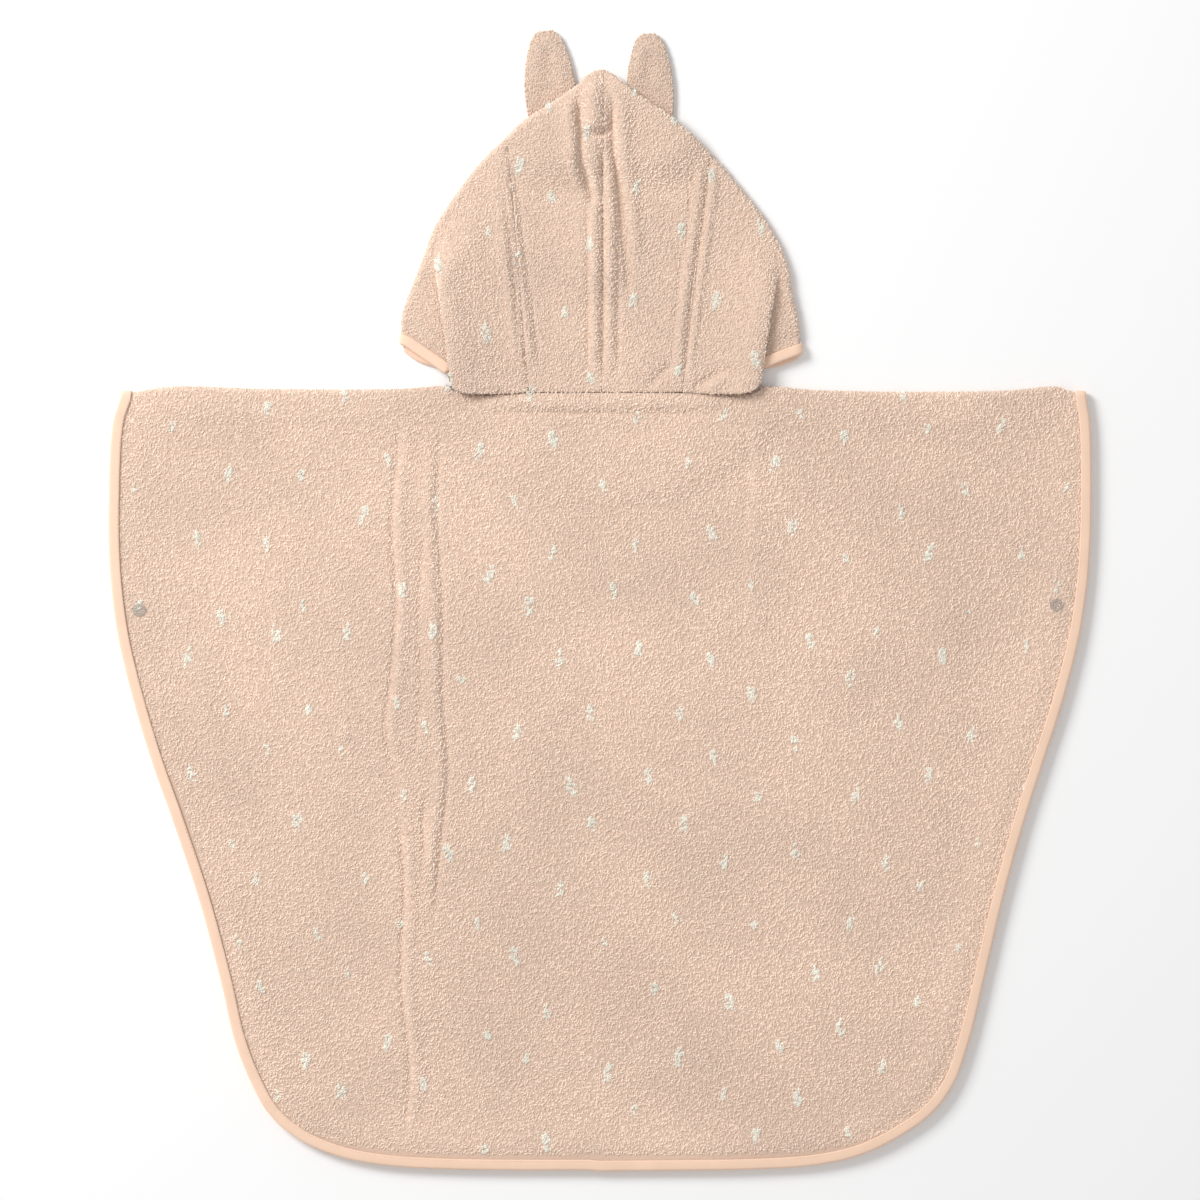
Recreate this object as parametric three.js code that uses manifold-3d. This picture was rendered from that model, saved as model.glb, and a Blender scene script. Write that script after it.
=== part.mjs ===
// Hooded bath poncho for a small child, in terry cloth, laid flat with its back up.
// Units are millimetres, +Z up. The origin is the middle of the garment's outline, on the floor.

import * as THREE from 'three';
import { mergeVertices } from 'three/addons/utils/BufferGeometryUtils.js';
import Module from 'manifold-3d';

// Cloth and binding
const clothThickness = 2.4;
const boundClothThickness = 1.2;
const seamGap = 0.3;
const bindingWall = 1.0;
const bindingWidth = 8;

// Heights of the middle of the cloth above the floor
const frontLevel = 1.2;
const frontEdgeLevel = 1.9;
const backLevel = 4.0;
const backEdgeLevel = 6.2;
const neckLevel = 5.15;
const hoodLevel = 4.6;
const edgeSettle = 42;
// How far the front neck's binding lifts the back above it
const neckImprint = 1.8;

// Outline of the body: where the bound edges are at each height of the laid garment.
// The first row is at the shoulder fold, the last is the middle of the hem.
const bodyOutline = [
  { y: 152.8, left: -359, right: 364 },
  { y: 132, left: -365, right: 367 },
  { y: 75, left: -368, right: 368 },
  { y: 30, left: -367.5, right: 366.5 },
  { y: 0, left: -365, right: 363.5 },
  { y: -30, left: -360.5, right: 358.5 },
  { y: -75, left: -349.5, right: 347 },
  { y: -120, left: -336, right: 332.5 },
  { y: -165, left: -320, right: 318 },
  { y: -225, left: -300, right: 301.5 },
  { y: -285, left: -284, right: 287.5 },
  { y: -330, left: -273.5, right: 276.5 },
  { y: -362, left: -261, right: 265 },
  { y: -384, left: -248.5, right: 249 },
  { y: -402, left: -228.5, right: 224 },
  { y: -415, left: -201, right: 197 },
  { y: -422.5, left: -168, right: 166 },
  { y: -426, left: -122, right: 122 },
  { y: -427, left: 0, right: 0 },
];
// The row of the outline where the sides end and the hem begins
const hemCornerRow = 13;

// Top of the shoulder fold across the garment
const shoulderLine = [
  { x: -359, y: 156.5 },
  { x: -350, y: 156.5 },
  { x: -318, y: 160.5 },
  { x: -255, y: 158.5 },
  { x: -150, y: 158.5 },
  { x: -111, y: 161 },
  { x: 120, y: 161 },
  { x: 165, y: 157.5 },
  { x: 300, y: 157 },
  { x: 345, y: 160 },
  { x: 354, y: 156.5 },
  { x: 364, y: 156.5 },
];

// Neck opening: its ends lie on the shoulder fold
const neck = { left: -112, right: 121, backDrop: 7, frontDrop: 62 };

// Creases of the laid back: ridges of the cloth, each along its own short path
const creases = [
  { height: 1.5, width: 24, path: [[-143, 150], [-141, 0], [-138, -130], [-137, -260], [-146, -412]] },
  { height: 1.5, width: 4.5, path: [[-138, 140], [-149, 0], [-150, -60], [-153, -98], [-145, -150]] },
  { height: 1.3, width: 4, path: [[-145, -150], [-144, -210], [-140, -285], [-140, -405]] },
  { height: -1.0, width: 3.5, path: [[-143, 150], [-155, 0], [-156, -60], [-159, -98], [-151, -150]] },
  { height: -0.9, width: 3.5, path: [[-151, -150], [-150, -210], [-146, -285], [-146, -405]] },
  { height: 1.2, width: 4, path: [[-126, 120], [-126, 0], [-122, -128], [-126, -195], [-130, -248]] },
  { height: 1.4, width: 4, path: [[-184, -112], [-170, -130], [-156, -152]] },
  { height: 0.8, width: 7, path: [[116, 140], [117, 90], [115, 30]] },
];

// Hood: the arch is its rounded upper edge, where the cloth turns over to the underside
const hoodArch = [
  { x: -150, y: 194 }, { x: -149, y: 212 }, { x: -142, y: 233 }, { x: -133, y: 256 },
  { x: -125, y: 278 }, { x: -107, y: 306 }, { x: -88, y: 330 }, { x: -73, y: 344 },
  { x: -56, y: 360 }, { x: -36, y: 373 }, { x: -17, y: 386 }, { x: -9, y: 394 },
  { x: 1, y: 398 }, { x: 10, y: 394 }, { x: 22, y: 384 }, { x: 55, y: 361 },
  { x: 80, y: 338 }, { x: 107, y: 307 }, { x: 129, y: 277 }, { x: 141, y: 250 },
  { x: 144, y: 232 }, { x: 148, y: 214 }, { x: 152, y: 187 },
];
// The lower edge of the hood's underside, over the forehead
const browLine = [
  { x: -146, y: 189 }, { x: -134, y: 181 }, { x: -100, y: 174 }, { x: 0, y: 171 },
  { x: 100, y: 174 }, { x: 136, y: 179 }, { x: 148, y: 184 },
];

// Ribs of the hood run from the arch to the neck seam, from the left bound edge to the right one.
// arch is the share of the arch's length, neckX and neckY the lower end, and level is how many
// cloth layers the rib lies above the plain back of the hood there.
const hoodRibs = {
  hood_side_left: [
    { arch: 0, neckX: -110, neckY: 169, level: 0.55 },
    { arch: 0.017, neckX: -108.5, neckY: 168.5, level: 0.55 },
    { arch: 0.028, neckX: -107.5, neckY: 168.2, level: 0.55 },
    { arch: 0.07, neckX: -103, neckY: 167, level: 0.55 },
    { arch: 0.115, neckX: -98, neckY: 166, level: 0.55 },
    { arch: 0.126, neckX: -95.5, neckY: 166, level: 0.65 },
    { arch: 0.132, neckX: -94.5, neckY: 165.8, level: 1.2 },
    { arch: 0.138, neckX: -96, neckY: 165.6, level: 1.85 },
    { arch: 0.144, neckX: -108, neckY: 165.5, level: 1.85 },
    { arch: 0.149, neckX: -111.5, neckY: 165.3, level: 2.35 },
    { arch: 0.156, neckX: -109, neckY: 165, level: 2.85 },
    { arch: 0.175, neckX: -101, neckY: 161.5, level: 2.8 },
    { arch: 0.21, neckX: -88, neckY: 158, level: 1.85 },
    { arch: 0.27, neckX: -70, neckY: 156, level: 0.75 },
    { arch: 0.326, neckX: -54, neckY: 155.6, level: 0.2 },
  ],
  hood_centre_left: [
    { arch: 0.328, neckX: -52.5, neckY: 155.6, level: 0.2 },
    { arch: 0.37, neckX: -42, neckY: 155.5, level: 0.05 },
    { arch: 0.415, neckX: -28, neckY: 155.5, level: 0 },
    { arch: 0.455, neckX: -14, neckY: 155.5, level: 0 },
    { arch: 0.476, neckX: -6, neckY: 155.5, level: 0 },
    { arch: 0.496, neckX: 0.3, neckY: 155.5, level: 0 },
  ],
  hood_centre_right: [
    { arch: 0.499, neckX: 2.2, neckY: 155.5, level: 0 },
    { arch: 0.518, neckX: 9, neckY: 155.5, level: 0 },
    { arch: 0.54, neckX: 18, neckY: 155.5, level: 0 },
    { arch: 0.59, neckX: 34, neckY: 155.5, level: 0 },
    { arch: 0.64, neckX: 48, neckY: 155.5, level: 0.05 },
    { arch: 0.691, neckX: 61, neckY: 155.6, level: 0.2 },
  ],
  hood_side_right: [
    { arch: 0.693, neckX: 62.4, neckY: 155.6, level: 0.2 },
    { arch: 0.75, neckX: 76, neckY: 156, level: 0.75 },
    { arch: 0.81, neckX: 94, neckY: 158.5, level: 1.85 },
    { arch: 0.84, neckX: 108, neckY: 162, level: 2.8 },
    { arch: 0.856, neckX: 117, neckY: 165, level: 2.85 },
    { arch: 0.862, neckX: 119.5, neckY: 165.3, level: 2.35 },
    { arch: 0.867, neckX: 116, neckY: 165.5, level: 1.85 },
    { arch: 0.874, neckX: 106, neckY: 165.6, level: 1.85 },
    { arch: 0.88, neckX: 104.5, neckY: 165.8, level: 1.2 },
    { arch: 0.886, neckX: 105.5, neckY: 166, level: 0.65 },
    { arch: 0.897, neckX: 107, neckY: 167, level: 0.55 },
    { arch: 0.935, neckX: 111, neckY: 170, level: 0.55 },
    { arch: 0.972, neckX: 115.5, neckY: 173, level: 0.55 },
    { arch: 0.983, neckX: 117, neckY: 173.8, level: 0.55 },
    { arch: 1, neckX: 118.5, neckY: 175, level: 0.55 },
  ],
};
const layerPitch = 2.8;

// Ears: where each one's base and tip lie, and its half width at distances from the tip
const ears = {
  ear_left: { base: { x: -35, y: 353 }, tip: { x: -41, y: 426.7 }, share: 1 },
  ear_right: { base: { x: 38, y: 353 }, tip: { x: 36.5, y: 424.5 }, share: 0.93 },
};
const earWidths = [
  { fromTip: 0, half: 4.5 }, { fromTip: 2, half: 8 }, { fromTip: 6, half: 10.8 },
  { fromTip: 12, half: 13.2 }, { fromTip: 20, half: 15.6 }, { fromTip: 32, half: 18 },
  { fromTip: 48, half: 19 }, { fromTip: 74, half: 17 },
];
const earWall = 2;
const earPuff = 2.2;
const earLift = { height: 5.2, near: 27, far: 56 };

// Snap fasteners through the side edges
const snaps = { snap_left: { x: -345, y: -7.5 }, snap_right: { x: 342, y: -3.75 } };
const snapSize = { cap: 10, capHeight: 1.1, post: 3, flange: 7, flangeHeight: 0.5 };

const terry = { color: 0xe8d0bf, roughness: 0.95, metalness: 0 };
const bindingCloth = { color: 0xf5d6c0, roughness: 0.85, metalness: 0 };
const clearPlastic = { color: 0xdedcd4, roughness: 0.35, metalness: 0 };

const lerp = THREE.MathUtils.lerp;
const clamp = THREE.MathUtils.clamp;
const smooth = (value, from, to) => THREE.MathUtils.smoothstep(value, from, to);

// A smooth curve through the rows of a table, as closely spaced points
function curvePoints(rows, count) {
  const corners = rows.map((row) => new THREE.Vector3(row.x, row.y, 0));
  return new THREE.CatmullRomCurve3(corners, false, 'centripetal').getPoints(count);
}

// The point at a share of a polyline's length, with its direction
function alongPolyline(points, share) {
  const lengths = [0];
  for (let i = 1; i < points.length; i++) lengths.push(lengths[i - 1] + points[i].distanceTo(points[i - 1]));
  const target = clamp(share, 0, 1) * lengths.at(-1);
  let i = 1;
  while (i < points.length - 1 && lengths[i] < target) i++;
  const step = (target - lengths[i - 1]) / (lengths[i] - lengths[i - 1]);
  const point = points[i - 1].clone().lerp(points[i], step);
  const direction = points[i].clone().sub(points[i - 1]).normalize();
  return { point, direction };
}

// Distance from a point to a polyline, with the share of its length where it is nearest
function nearest(points, x, y) {
  let best = { distance: Infinity, share: 0 };
  for (let i = 1; i < points.length; i++) {
    const ax = points[i - 1].x;
    const ay = points[i - 1].y;
    const dx = points[i].x - ax;
    const dy = points[i].y - ay;
    const t = clamp(((x - ax) * dx + (y - ay) * dy) / (dx * dx + dy * dy), 0, 1);
    const distance = Math.hypot(x - ax - t * dx, y - ay - t * dy);
    if (distance < best.distance) best = { distance, share: (i - 1 + t) / (points.length - 1) };
  }
  return best;
}

// Offsets a polyline to its left by a distance
function offsetPolyline(points, distance) {
  return points.map((point, i) => {
    const before = points[Math.max(i - 1, 0)];
    const after = points[Math.min(i + 1, points.length - 1)];
    const along = after.clone().sub(before).normalize();
    return new THREE.Vector3(point.x - along.y * distance, point.y + along.x * distance, 0);
  });
}

// A closed wall on a grid of middle points: half gives the half thickness, keep leaves cells open.
// Both faces are made from the middle points, moved along the surface's normal.
function wallFromGrid(columns, rows, middle, half, keep = () => true) {
  const grid = [];
  for (let j = 0; j < rows; j++) {
    for (let i = 0; i < columns; i++) grid.push(middle(i, j));
  }
  const at = (i, j) => grid[clamp(j, 0, rows - 1) * columns + clamp(i, 0, columns - 1)];
  const positions = [];
  for (let j = 0; j < rows; j++) {
    for (let i = 0; i < columns; i++) {
      const across = at(i + 1, j).clone().sub(at(i - 1, j));
      const along = at(i, j + 1).clone().sub(at(i, j - 1));
      const normal = across.cross(along).normalize();
      const [outer, inner] = half(i, j);
      positions.push(...at(i, j).clone().addScaledVector(normal, outer).toArray());
      positions.push(...at(i, j).clone().addScaledVector(normal, -inner).toArray());
    }
  }
  const kept = (i, j) => i >= 0 && j >= 0 && i < columns - 1 && j < rows - 1 && keep(i, j);
  const outer = (i, j) => 2 * (j * columns + i);
  const inner = (i, j) => outer(i, j) + 1;
  const triangles = [];
  const quad = (a, b, c, d) => triangles.push(a, b, c, a, c, d);
  for (let j = 0; j < rows - 1; j++) {
    for (let i = 0; i < columns - 1; i++) {
      if (!kept(i, j)) continue;
      quad(outer(i, j), outer(i + 1, j), outer(i + 1, j + 1), outer(i, j + 1));
      quad(inner(i, j), inner(i, j + 1), inner(i + 1, j + 1), inner(i + 1, j));
      if (!kept(i, j - 1)) quad(outer(i, j), inner(i, j), inner(i + 1, j), outer(i + 1, j));
      if (!kept(i + 1, j)) quad(outer(i + 1, j), inner(i + 1, j), inner(i + 1, j + 1), outer(i + 1, j + 1));
      if (!kept(i, j + 1)) quad(outer(i + 1, j + 1), inner(i + 1, j + 1), inner(i, j + 1), outer(i, j + 1));
      if (!kept(i - 1, j)) quad(outer(i, j + 1), inner(i, j + 1), inner(i, j), outer(i, j));
    }
  }
  const geometry = new THREE.BufferGeometry();
  geometry.setAttribute('position', new THREE.Float32BufferAttribute(positions, 3));
  geometry.setIndex(triangles);
  return geometry;
}

// Outline of the body, from the left shoulder round the hem to the right shoulder
const edgeInset = bindingWall + 0.95;
const hemMiddle = bodyOutline.length - 1;
const outlineCorners = [
  ...bodyOutline.map((row) => ({ x: row.left, y: row.y })),
  ...bodyOutline.slice(0, hemMiddle).reverse().map((row) => ({ x: row.right, y: row.y })),
];
const outline = curvePoints(outlineCorners, 520);
const clothEdge = offsetPolyline(outline, edgeInset);
const shoulder = curvePoints(shoulderLine, 80);
const turnRadius = (backEdgeLevel - frontLevel) / 2;
const scoop = [];

// The line round which the cloth turns over at the shoulders
function shoulderTurnY(x) {
  const i = Math.max(1, shoulder.findIndex((point) => point.x >= x));
  const [a, b] = [shoulder[i - 1], shoulder[i]];
  return lerp(a.y, b.y, clamp((x - a.x) / (b.x - a.x), 0, 1)) - turnRadius - clothThickness / 2;
}

function creaseHeight(x, y) {
  let height = 0;
  for (const crease of creases) {
    const path = crease.path.map(([px, py]) => ({ x: px, y: py }));
    const { distance, share } = nearest(path, x, y);
    const fade = smooth(share, 0, 0.1) * (1 - smooth(share, 0.9, 1));
    height += crease.height * Math.exp(-((distance / crease.width) ** 2)) * fade;
  }
  return height;
}

// Height of the middle of the back layer
function backHeight(x, y) {
  const fromTop = shoulderTurnY(clamp(x, -358, 363)) - y;
  const fromSide = nearest(clothEdge, x, y).distance;
  const rim = 1 - smooth(Math.min(fromSide, fromTop), 8, edgeSettle);
  const neckShare = smooth(x, neck.left, neck.left + 20) * (1 - smooth(x, neck.right - 20, neck.right));
  const topShare = 1 - smooth(fromTop, 0, 40);
  const rimLevel = lerp(backEdgeLevel, neckLevel, neckShare * topShare);
  let height = lerp(backLevel, rimLevel, rim) + creaseHeight(x, y) * (1 - rim);
  height += neckImprint * (1 - smooth(nearest(scoop, x, y).distance, 14, 36)) * (1 - rim);
  for (const snap of Object.values(snaps)) {
    const distance = Math.hypot(x - snap.x, y - snap.y);
    height += 0.8 * Math.exp(-((distance / 20) ** 2)) * smooth(fromSide, 9, 16);
  }
  return height;
}

// The body's grid: columns by their place at the shoulders, rows by their share of the height
const columnPlaces = [
  -368, -359, -354, -335, -300, -260, -215, -185, -172, -165, -158, -151, -144, -137, -130, -123,
  neck.left, -102, -80, -40, 0, 40, 80, 110, neck.right, 165, 215, 260, 300, 335, 354, 359, 368,
];
const backShares = [
  0, 0.017, 0.027, 0.055, 0.09, 0.15, 0.22, 0.3, 0.38, 0.46, 0.54, 0.62, 0.7, 0.77, 0.84, 0.89,
  0.93, 0.96, 0.983, 1,
];
const turnAngles = [30, 60, 90, 120, 150].map(THREE.MathUtils.degToRad);
const frontShares = [1, 0.98, 0.968, 0.92, 0.83, 0.72, 0.6, 0.48, 0.36, 0.25, 0.15, 0.08, 0.027, 0.017, 0];
const halfSpan = 368;

const cornerIndex = (side) => {
  const row = bodyOutline[hemCornerRow];
  const share = nearest(clothEdge, side < 0 ? row.left : row.right, row.y).share;
  return Math.round(share * (clothEdge.length - 1));
};
const leftSide = clothEdge.slice(0, cornerIndex(-1) + 1).reverse();
const rightSide = clothEdge.slice(cornerIndex(1));
const hem = clothEdge.slice(cornerIndex(-1), cornerIndex(1) + 1);

function hemPoint(place) {
  const span = place < 0 ? -hem[0].x : hem.at(-1).x;
  const ratio = place / halfSpan;
  const x = place - (halfSpan - span) * ratio * Math.abs(ratio);
  const i = Math.max(1, hem.findIndex((point) => point.x >= x - 1e-6));
  return hem[i - 1].clone().lerp(hem[i], (x - hem[i - 1].x) / (hem[i].x - hem[i - 1].x));
}

// Where a column of the grid ends at the top of a layer
function topPoint(place, layer) {
  const left = clothEdge[0].x;
  const right = clothEdge.at(-1).x;
  const ratio = place / halfSpan;
  const span = place < 0 ? -left : right;
  const x = place - (halfSpan - span) * ratio * Math.abs(ratio);
  const across = (x - (neck.left + neck.right) / 2) / ((neck.right - neck.left) / 2);
  const y = shoulderTurnY(x);
  if (Math.abs(across) >= 1) return new THREE.Vector3(x, y, 0);
  const drop = layer === 'back' ? (neck.backDrop / 2) * smooth(1 - Math.abs(across), 0, 0.12)
    : neck.frontDrop * (1 - Math.abs(across) ** 2.2);
  return new THREE.Vector3(x, y - drop, 0);
}

// A point of the patch between the hem, the sides and the top of a layer
function patchPoint(place, share, layer) {
  const low = hemPoint(place);
  const high = topPoint(place, layer);
  const point = low.lerp(high, share);
  for (const [side, curve, end] of [[-1, leftSide, -halfSpan], [1, rightSide, halfSpan]]) {
    const pull = clamp((place * side) / halfSpan, 0, 1) ** 4;
    const straight = hemPoint(end).lerp(topPoint(end, layer), share);
    point.addScaledVector(alongPolyline(curve, share).point.sub(straight), pull);
  }
  return point;
}

// The rows of the folded body: up the back, over the turn at the shoulders, down the front
const bodyRows = [
  ...backShares.map((share) => ({ layer: 'back', share })),
  ...turnAngles.map((angle) => ({ layer: 'turn', angle })),
  ...frontShares.map((share) => ({ layer: 'front', share })),
];
const firstTurnRow = backShares.length - 1;
const lastTurnRow = firstTurnRow + turnAngles.length + 1;

function frontHeight(x, y) {
  const rim = Math.min(nearest(clothEdge, x, y).distance, nearest(scoop, x, y).distance);
  return lerp(frontEdgeLevel, frontLevel, smooth(rim, 11, 15));
}

function bodyMiddle(i, j) {
  const row = bodyRows[j];
  const place = columnPlaces[i];
  if (row.layer !== 'turn') {
    const point = patchPoint(place, row.share, row.layer);
    point.z = row.layer === 'back' ? backHeight(point.x, point.y) : frontHeight(point.x, point.y);
    return point;
  }
  const top = topPoint(place, 'back');
  const high = backHeight(top.x, top.y);
  const low = frontHeight(top.x, top.y);
  const radius = (high - low) / 2;
  const y = top.y + radius * Math.sin(row.angle);
  return new THREE.Vector3(top.x, y, (high + low) / 2 + radius * Math.cos(row.angle));
}

function bodyHalf(i, j) {
  const point = bodyMiddle(i, j);
  const row = bodyRows[j];
  let rim = nearest(clothEdge, point.x, point.y).distance;
  if (row.layer === 'front') rim = Math.min(rim, nearest(scoop, point.x, point.y).distance);
  const half = lerp(boundClothThickness, clothThickness, smooth(rim, 11, 15)) / 2;
  return [half, half];
}

function makeBody() {
  for (const place of columnPlaces) {
    if (place >= neck.left && place <= neck.right) scoop.push(topPoint(place, 'front'));
  }
  const neckColumn = (i) => columnPlaces[i] >= neck.left && columnPlaces[i + 1] <= neck.right;
  const keep = (i, j) => !(neckColumn(i) && j >= firstTurnRow && j < lastTurnRow);
  return wallFromGrid(columnPlaces.length, bodyRows.length, bodyMiddle, bodyHalf, keep);
}

// Half of a binding's section: inward from the cloth's bound edge, and up from its middle
const bindingReach = boundClothThickness / 2 + seamGap;
const bindingSection = [
  [bindingWidth, bindingReach + bindingWall], [1.3, bindingReach + bindingWall],
  [0.3, bindingReach + 0.3], [0, 0], [0.3, -bindingReach - 0.3],
  [1.3, -bindingReach - bindingWall], [bindingWidth, -bindingReach - bindingWall],
  [bindingWidth, -bindingReach], [bindingWall, -bindingReach],
  [bindingWall, bindingReach], [bindingWidth, bindingReach],
];

// A binding carried through stations, each with its edge point, inward direction and normal
function carryBinding(stations, closed) {
  const size = bindingSection.length;
  const positions = [];
  for (const { point, inward, normal } of stations) {
    for (const [depth, rise] of bindingSection) {
      const corner = point.clone().addScaledVector(inward, depth).addScaledVector(normal, rise);
      positions.push(...corner.toArray());
    }
  }
  const triangles = [];
  const count = stations.length;
  for (let s = 0; s < (closed ? count : count - 1); s++) {
    const here = s * size;
    const next = ((s + 1) % count) * size;
    for (let k = 0; k < size; k++) {
      const l = (k + 1) % size;
      triangles.push(here + k, here + l, next + l, here + k, next + l, next + k);
    }
  }
  if (!closed) {
    const contour = bindingSection.map(([depth, rise]) => new THREE.Vector2(depth, rise));
    const last = (count - 1) * size;
    for (const [a, b, c] of THREE.ShapeUtils.triangulateShape(contour, [])) {
      triangles.push(a, c, b, last + a, last + b, last + c);
    }
  }
  const geometry = new THREE.BufferGeometry();
  geometry.setAttribute('position', new THREE.Float32BufferAttribute(positions, 3));
  geometry.setIndex(triangles);
  return geometry;
}

// Picks the points of a polyline where it has gone far enough or turned enough
function thinOut(points, farthest, widestTurn) {
  const kept = [0];
  const heading = (i) => points[Math.min(i + 1, points.length - 1)].clone().sub(points[Math.max(i - 1, 0)]);
  for (let i = 1; i < points.length - 1; i++) {
    const last = kept.at(-1);
    const far = points[i].distanceTo(points[last]) >= farthest;
    if (far || heading(i).angleTo(heading(last)) >= widestTurn) kept.push(i);
  }
  return [...kept, points.length - 1];
}

const up = new THREE.Vector3(0, 0, 1);
const down = new THREE.Vector3(0, 0, -1);

// Stations of a binding along a flat outline with the cloth on its left
function edgeStations(points, height, normal, farthest = 48, widestTurn = 0.12) {
  return thinOut(points, farthest, widestTurn).map((i) => {
    const along = points[Math.min(i + 1, points.length - 1)].clone().sub(points[Math.max(i - 1, 0)]);
    const inward = new THREE.Vector3(-along.y, along.x, 0).normalize();
    const point = points[i].clone();
    point.z = height(point);
    return { point, inward, normal };
  });
}

// Stations of a binding round a turn of the cloth, from its upper to its lower layer
function turnStations(point, outward, inward, high, low) {
  const radius = (high - low) / 2;
  return turnAngles.map((angle) => {
    const normal = outward.clone().multiplyScalar(Math.sin(angle)).addScaledVector(up, Math.cos(angle));
    const middle = point.clone().setZ((high + low) / 2).addScaledVector(normal, radius);
    return { point: middle, inward, normal };
  });
}

function makeBodyBinding() {
  const inwardFromLeft = new THREE.Vector3(1, 0, 0);
  const inwardFromRight = new THREE.Vector3(-1, 0, 0);
  const outward = new THREE.Vector3(0, 1, 0);
  const back = edgeStations(outline, () => backEdgeLevel, up);
  const front = edgeStations(outline, () => frontEdgeLevel, down);
  const left = turnStations(outline[0], outward, inwardFromLeft, backEdgeLevel, frontEdgeLevel);
  const right = turnStations(outline.at(-1), outward, inwardFromRight, backEdgeLevel, frontEdgeLevel);
  return carryBinding([...back.reverse(), ...left, ...front, ...right.reverse()], true);
}

function makeNeckBinding() {
  const edge = scoop.slice(1, -1);
  const outer = offsetPolyline(edge.reverse(), -edgeInset);
  return carryBinding(edgeStations(outer, () => frontEdgeLevel, down, 1, 0.01), false);
}

// The hood turns over along a line just inside its arch
const arch = curvePoints(hoodArch, 600);
const hoodTurnRadius = (backEdgeLevel - frontLevel) / 2;
const archInset = -(hoodTurnRadius + clothThickness / 2);
const archTurn = offsetPolyline(arch, archInset);
const brow = curvePoints(browLine, 120);
const browEdge = [archTurn[0], ...brow, archTurn.at(-1)];
const backFractions = [0, 0.05, 0.11, 0.18, 0.26, 0.36, 0.52, 0.68, 0.82, 0.93, 1];
const underFractions = [0, 0.05, 0.11, 0.18, 0.26, 0.36, 0.55, 0.8];
const underFromBrow = [14, 9, 0];
const shortRib = 30;
const hoodInset = edgeInset + 1.1;
const firstHoodRib = hoodRibs.hood_side_left[0];
const lastHoodRib = hoodRibs.hood_side_right.at(-1);

// How far the ears under the hood lift it
function hoodLift(x, y) {
  let lift = 0;
  for (const { base } of Object.values(ears)) {
    const distance = Math.hypot(x - base.x, y - base.y - 6);
    lift = Math.max(lift, earLift.height * (1 - smooth(distance, earLift.near, earLift.far)));
  }
  return lift;
}

// Adds a rib halfway between each two
function refineRibs(ribs) {
  return ribs.flatMap((rib, i) => {
    const next = ribs[i + 1];
    if (!next) return [rib];
    const halfway = Object.fromEntries(Object.keys(rib).map((key) => [key, (rib[key] + next[key]) / 2]));
    return [rib, halfway];
  });
}

// The outward direction where a rib crosses the arch
function archOutward(rib) {
  const { direction } = alongPolyline(archTurn, rib.arch);
  return new THREE.Vector3(-direction.y, direction.x, 0);
}

// Distance of a point of the back layer to the nearer of the two bound side edges
function cheekDistance(x, y) {
  const distances = [firstHoodRib, lastHoodRib].map((rib) => {
    const start = alongPolyline(archTurn, rib.arch).point;
    return nearest([start, { x: rib.neckX, y: rib.neckY }], x, y).distance;
  });
  return Math.min(...distances);
}

function hoodBackPoint(rib, fraction) {
  const start = alongPolyline(archTurn, rib.arch).point;
  const end = new THREE.Vector3(rib.neckX, rib.neckY, 0);
  const length = start.distanceTo(end);
  const point = start.lerp(end, fraction);
  const fromArch = length * fraction;
  const settled = smooth(fromArch, 0, Math.min(edgeSettle, 0.8 * length));
  const neckRise = (neckLevel - hoodLevel) * (1 - smooth(length - fromArch, 27, 60));
  const spread = clamp(1 - rib.level, 0, 1);
  const height = hoodLevel + neckRise * spread + rib.level * layerPitch;
  const lift = hoodLift(point.x, point.y) * lerp(1, 1.2, settled);
  point.z = lerp(backEdgeLevel, height, settled) + lift;
  return point;
}

function underHeight(x, y) {
  const rim = nearest(browEdge, x, y).distance;
  return lerp(frontEdgeLevel, frontLevel, smooth(rim, 11, 15)) + hoodLift(x, y);
}

function hoodUnderPoint(rib, { fraction, fromBrow }) {
  const start = alongPolyline(archTurn, rib.arch).point;
  const end = alongPolyline(brow, rib.arch).point;
  const length = start.distanceTo(end);
  const bound = Math.min(1, length / shortRib) / length;
  const share = fromBrow === undefined ? fraction * (1 - underFromBrow[0] * bound) : 1 - fromBrow * bound;
  const point = start.lerp(end, share);
  point.z = underHeight(point.x, point.y);
  return point;
}

function hoodTurnPoint(rib, angle) {
  const high = hoodBackPoint(rib, 0);
  const low = hoodUnderPoint(rib, { fraction: 0 });
  const radius = (high.z - low.z) / 2;
  const point = high.clone().addScaledVector(archOutward(rib), radius * Math.sin(angle));
  point.z = (high.z + low.z) / 2 + radius * Math.cos(angle);
  return point;
}

// A hood panel runs from the neck up its back, over the arch and down to the brow
function makeHoodPanel(ribs) {
  const rows = [
    ...[...backFractions].reverse().map((fraction) => ({ layer: 'back', fraction })),
    ...turnAngles.map((angle) => ({ layer: 'turn', angle })),
    ...underFractions.map((fraction) => ({ layer: 'under', fraction })),
    ...underFromBrow.map((fromBrow) => ({ layer: 'under', fromBrow })),
  ];
  const middle = (i, j) => {
    const row = rows[j];
    if (row.layer === 'back') return hoodBackPoint(ribs[i], row.fraction);
    if (row.layer === 'turn') return hoodTurnPoint(ribs[i], row.angle);
    return hoodUnderPoint(ribs[i], row);
  };
  const half = (i, j) => {
    const point = middle(i, j);
    const row = rows[j];
    let rim = cheekDistance(point.x, point.y);
    if (row.layer === 'back' && ribs[i].level > 1) rim = bindingWidth * 2;
    if (row.layer === 'under') rim = Math.min(rim, nearest(browEdge, point.x, point.y).distance);
    const size = lerp(boundClothThickness, clothThickness, smooth(rim, 11, 15)) / 2;
    return [size, size];
  };
  return wallFromGrid(ribs.length, rows.length, middle, half);
}

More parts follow.
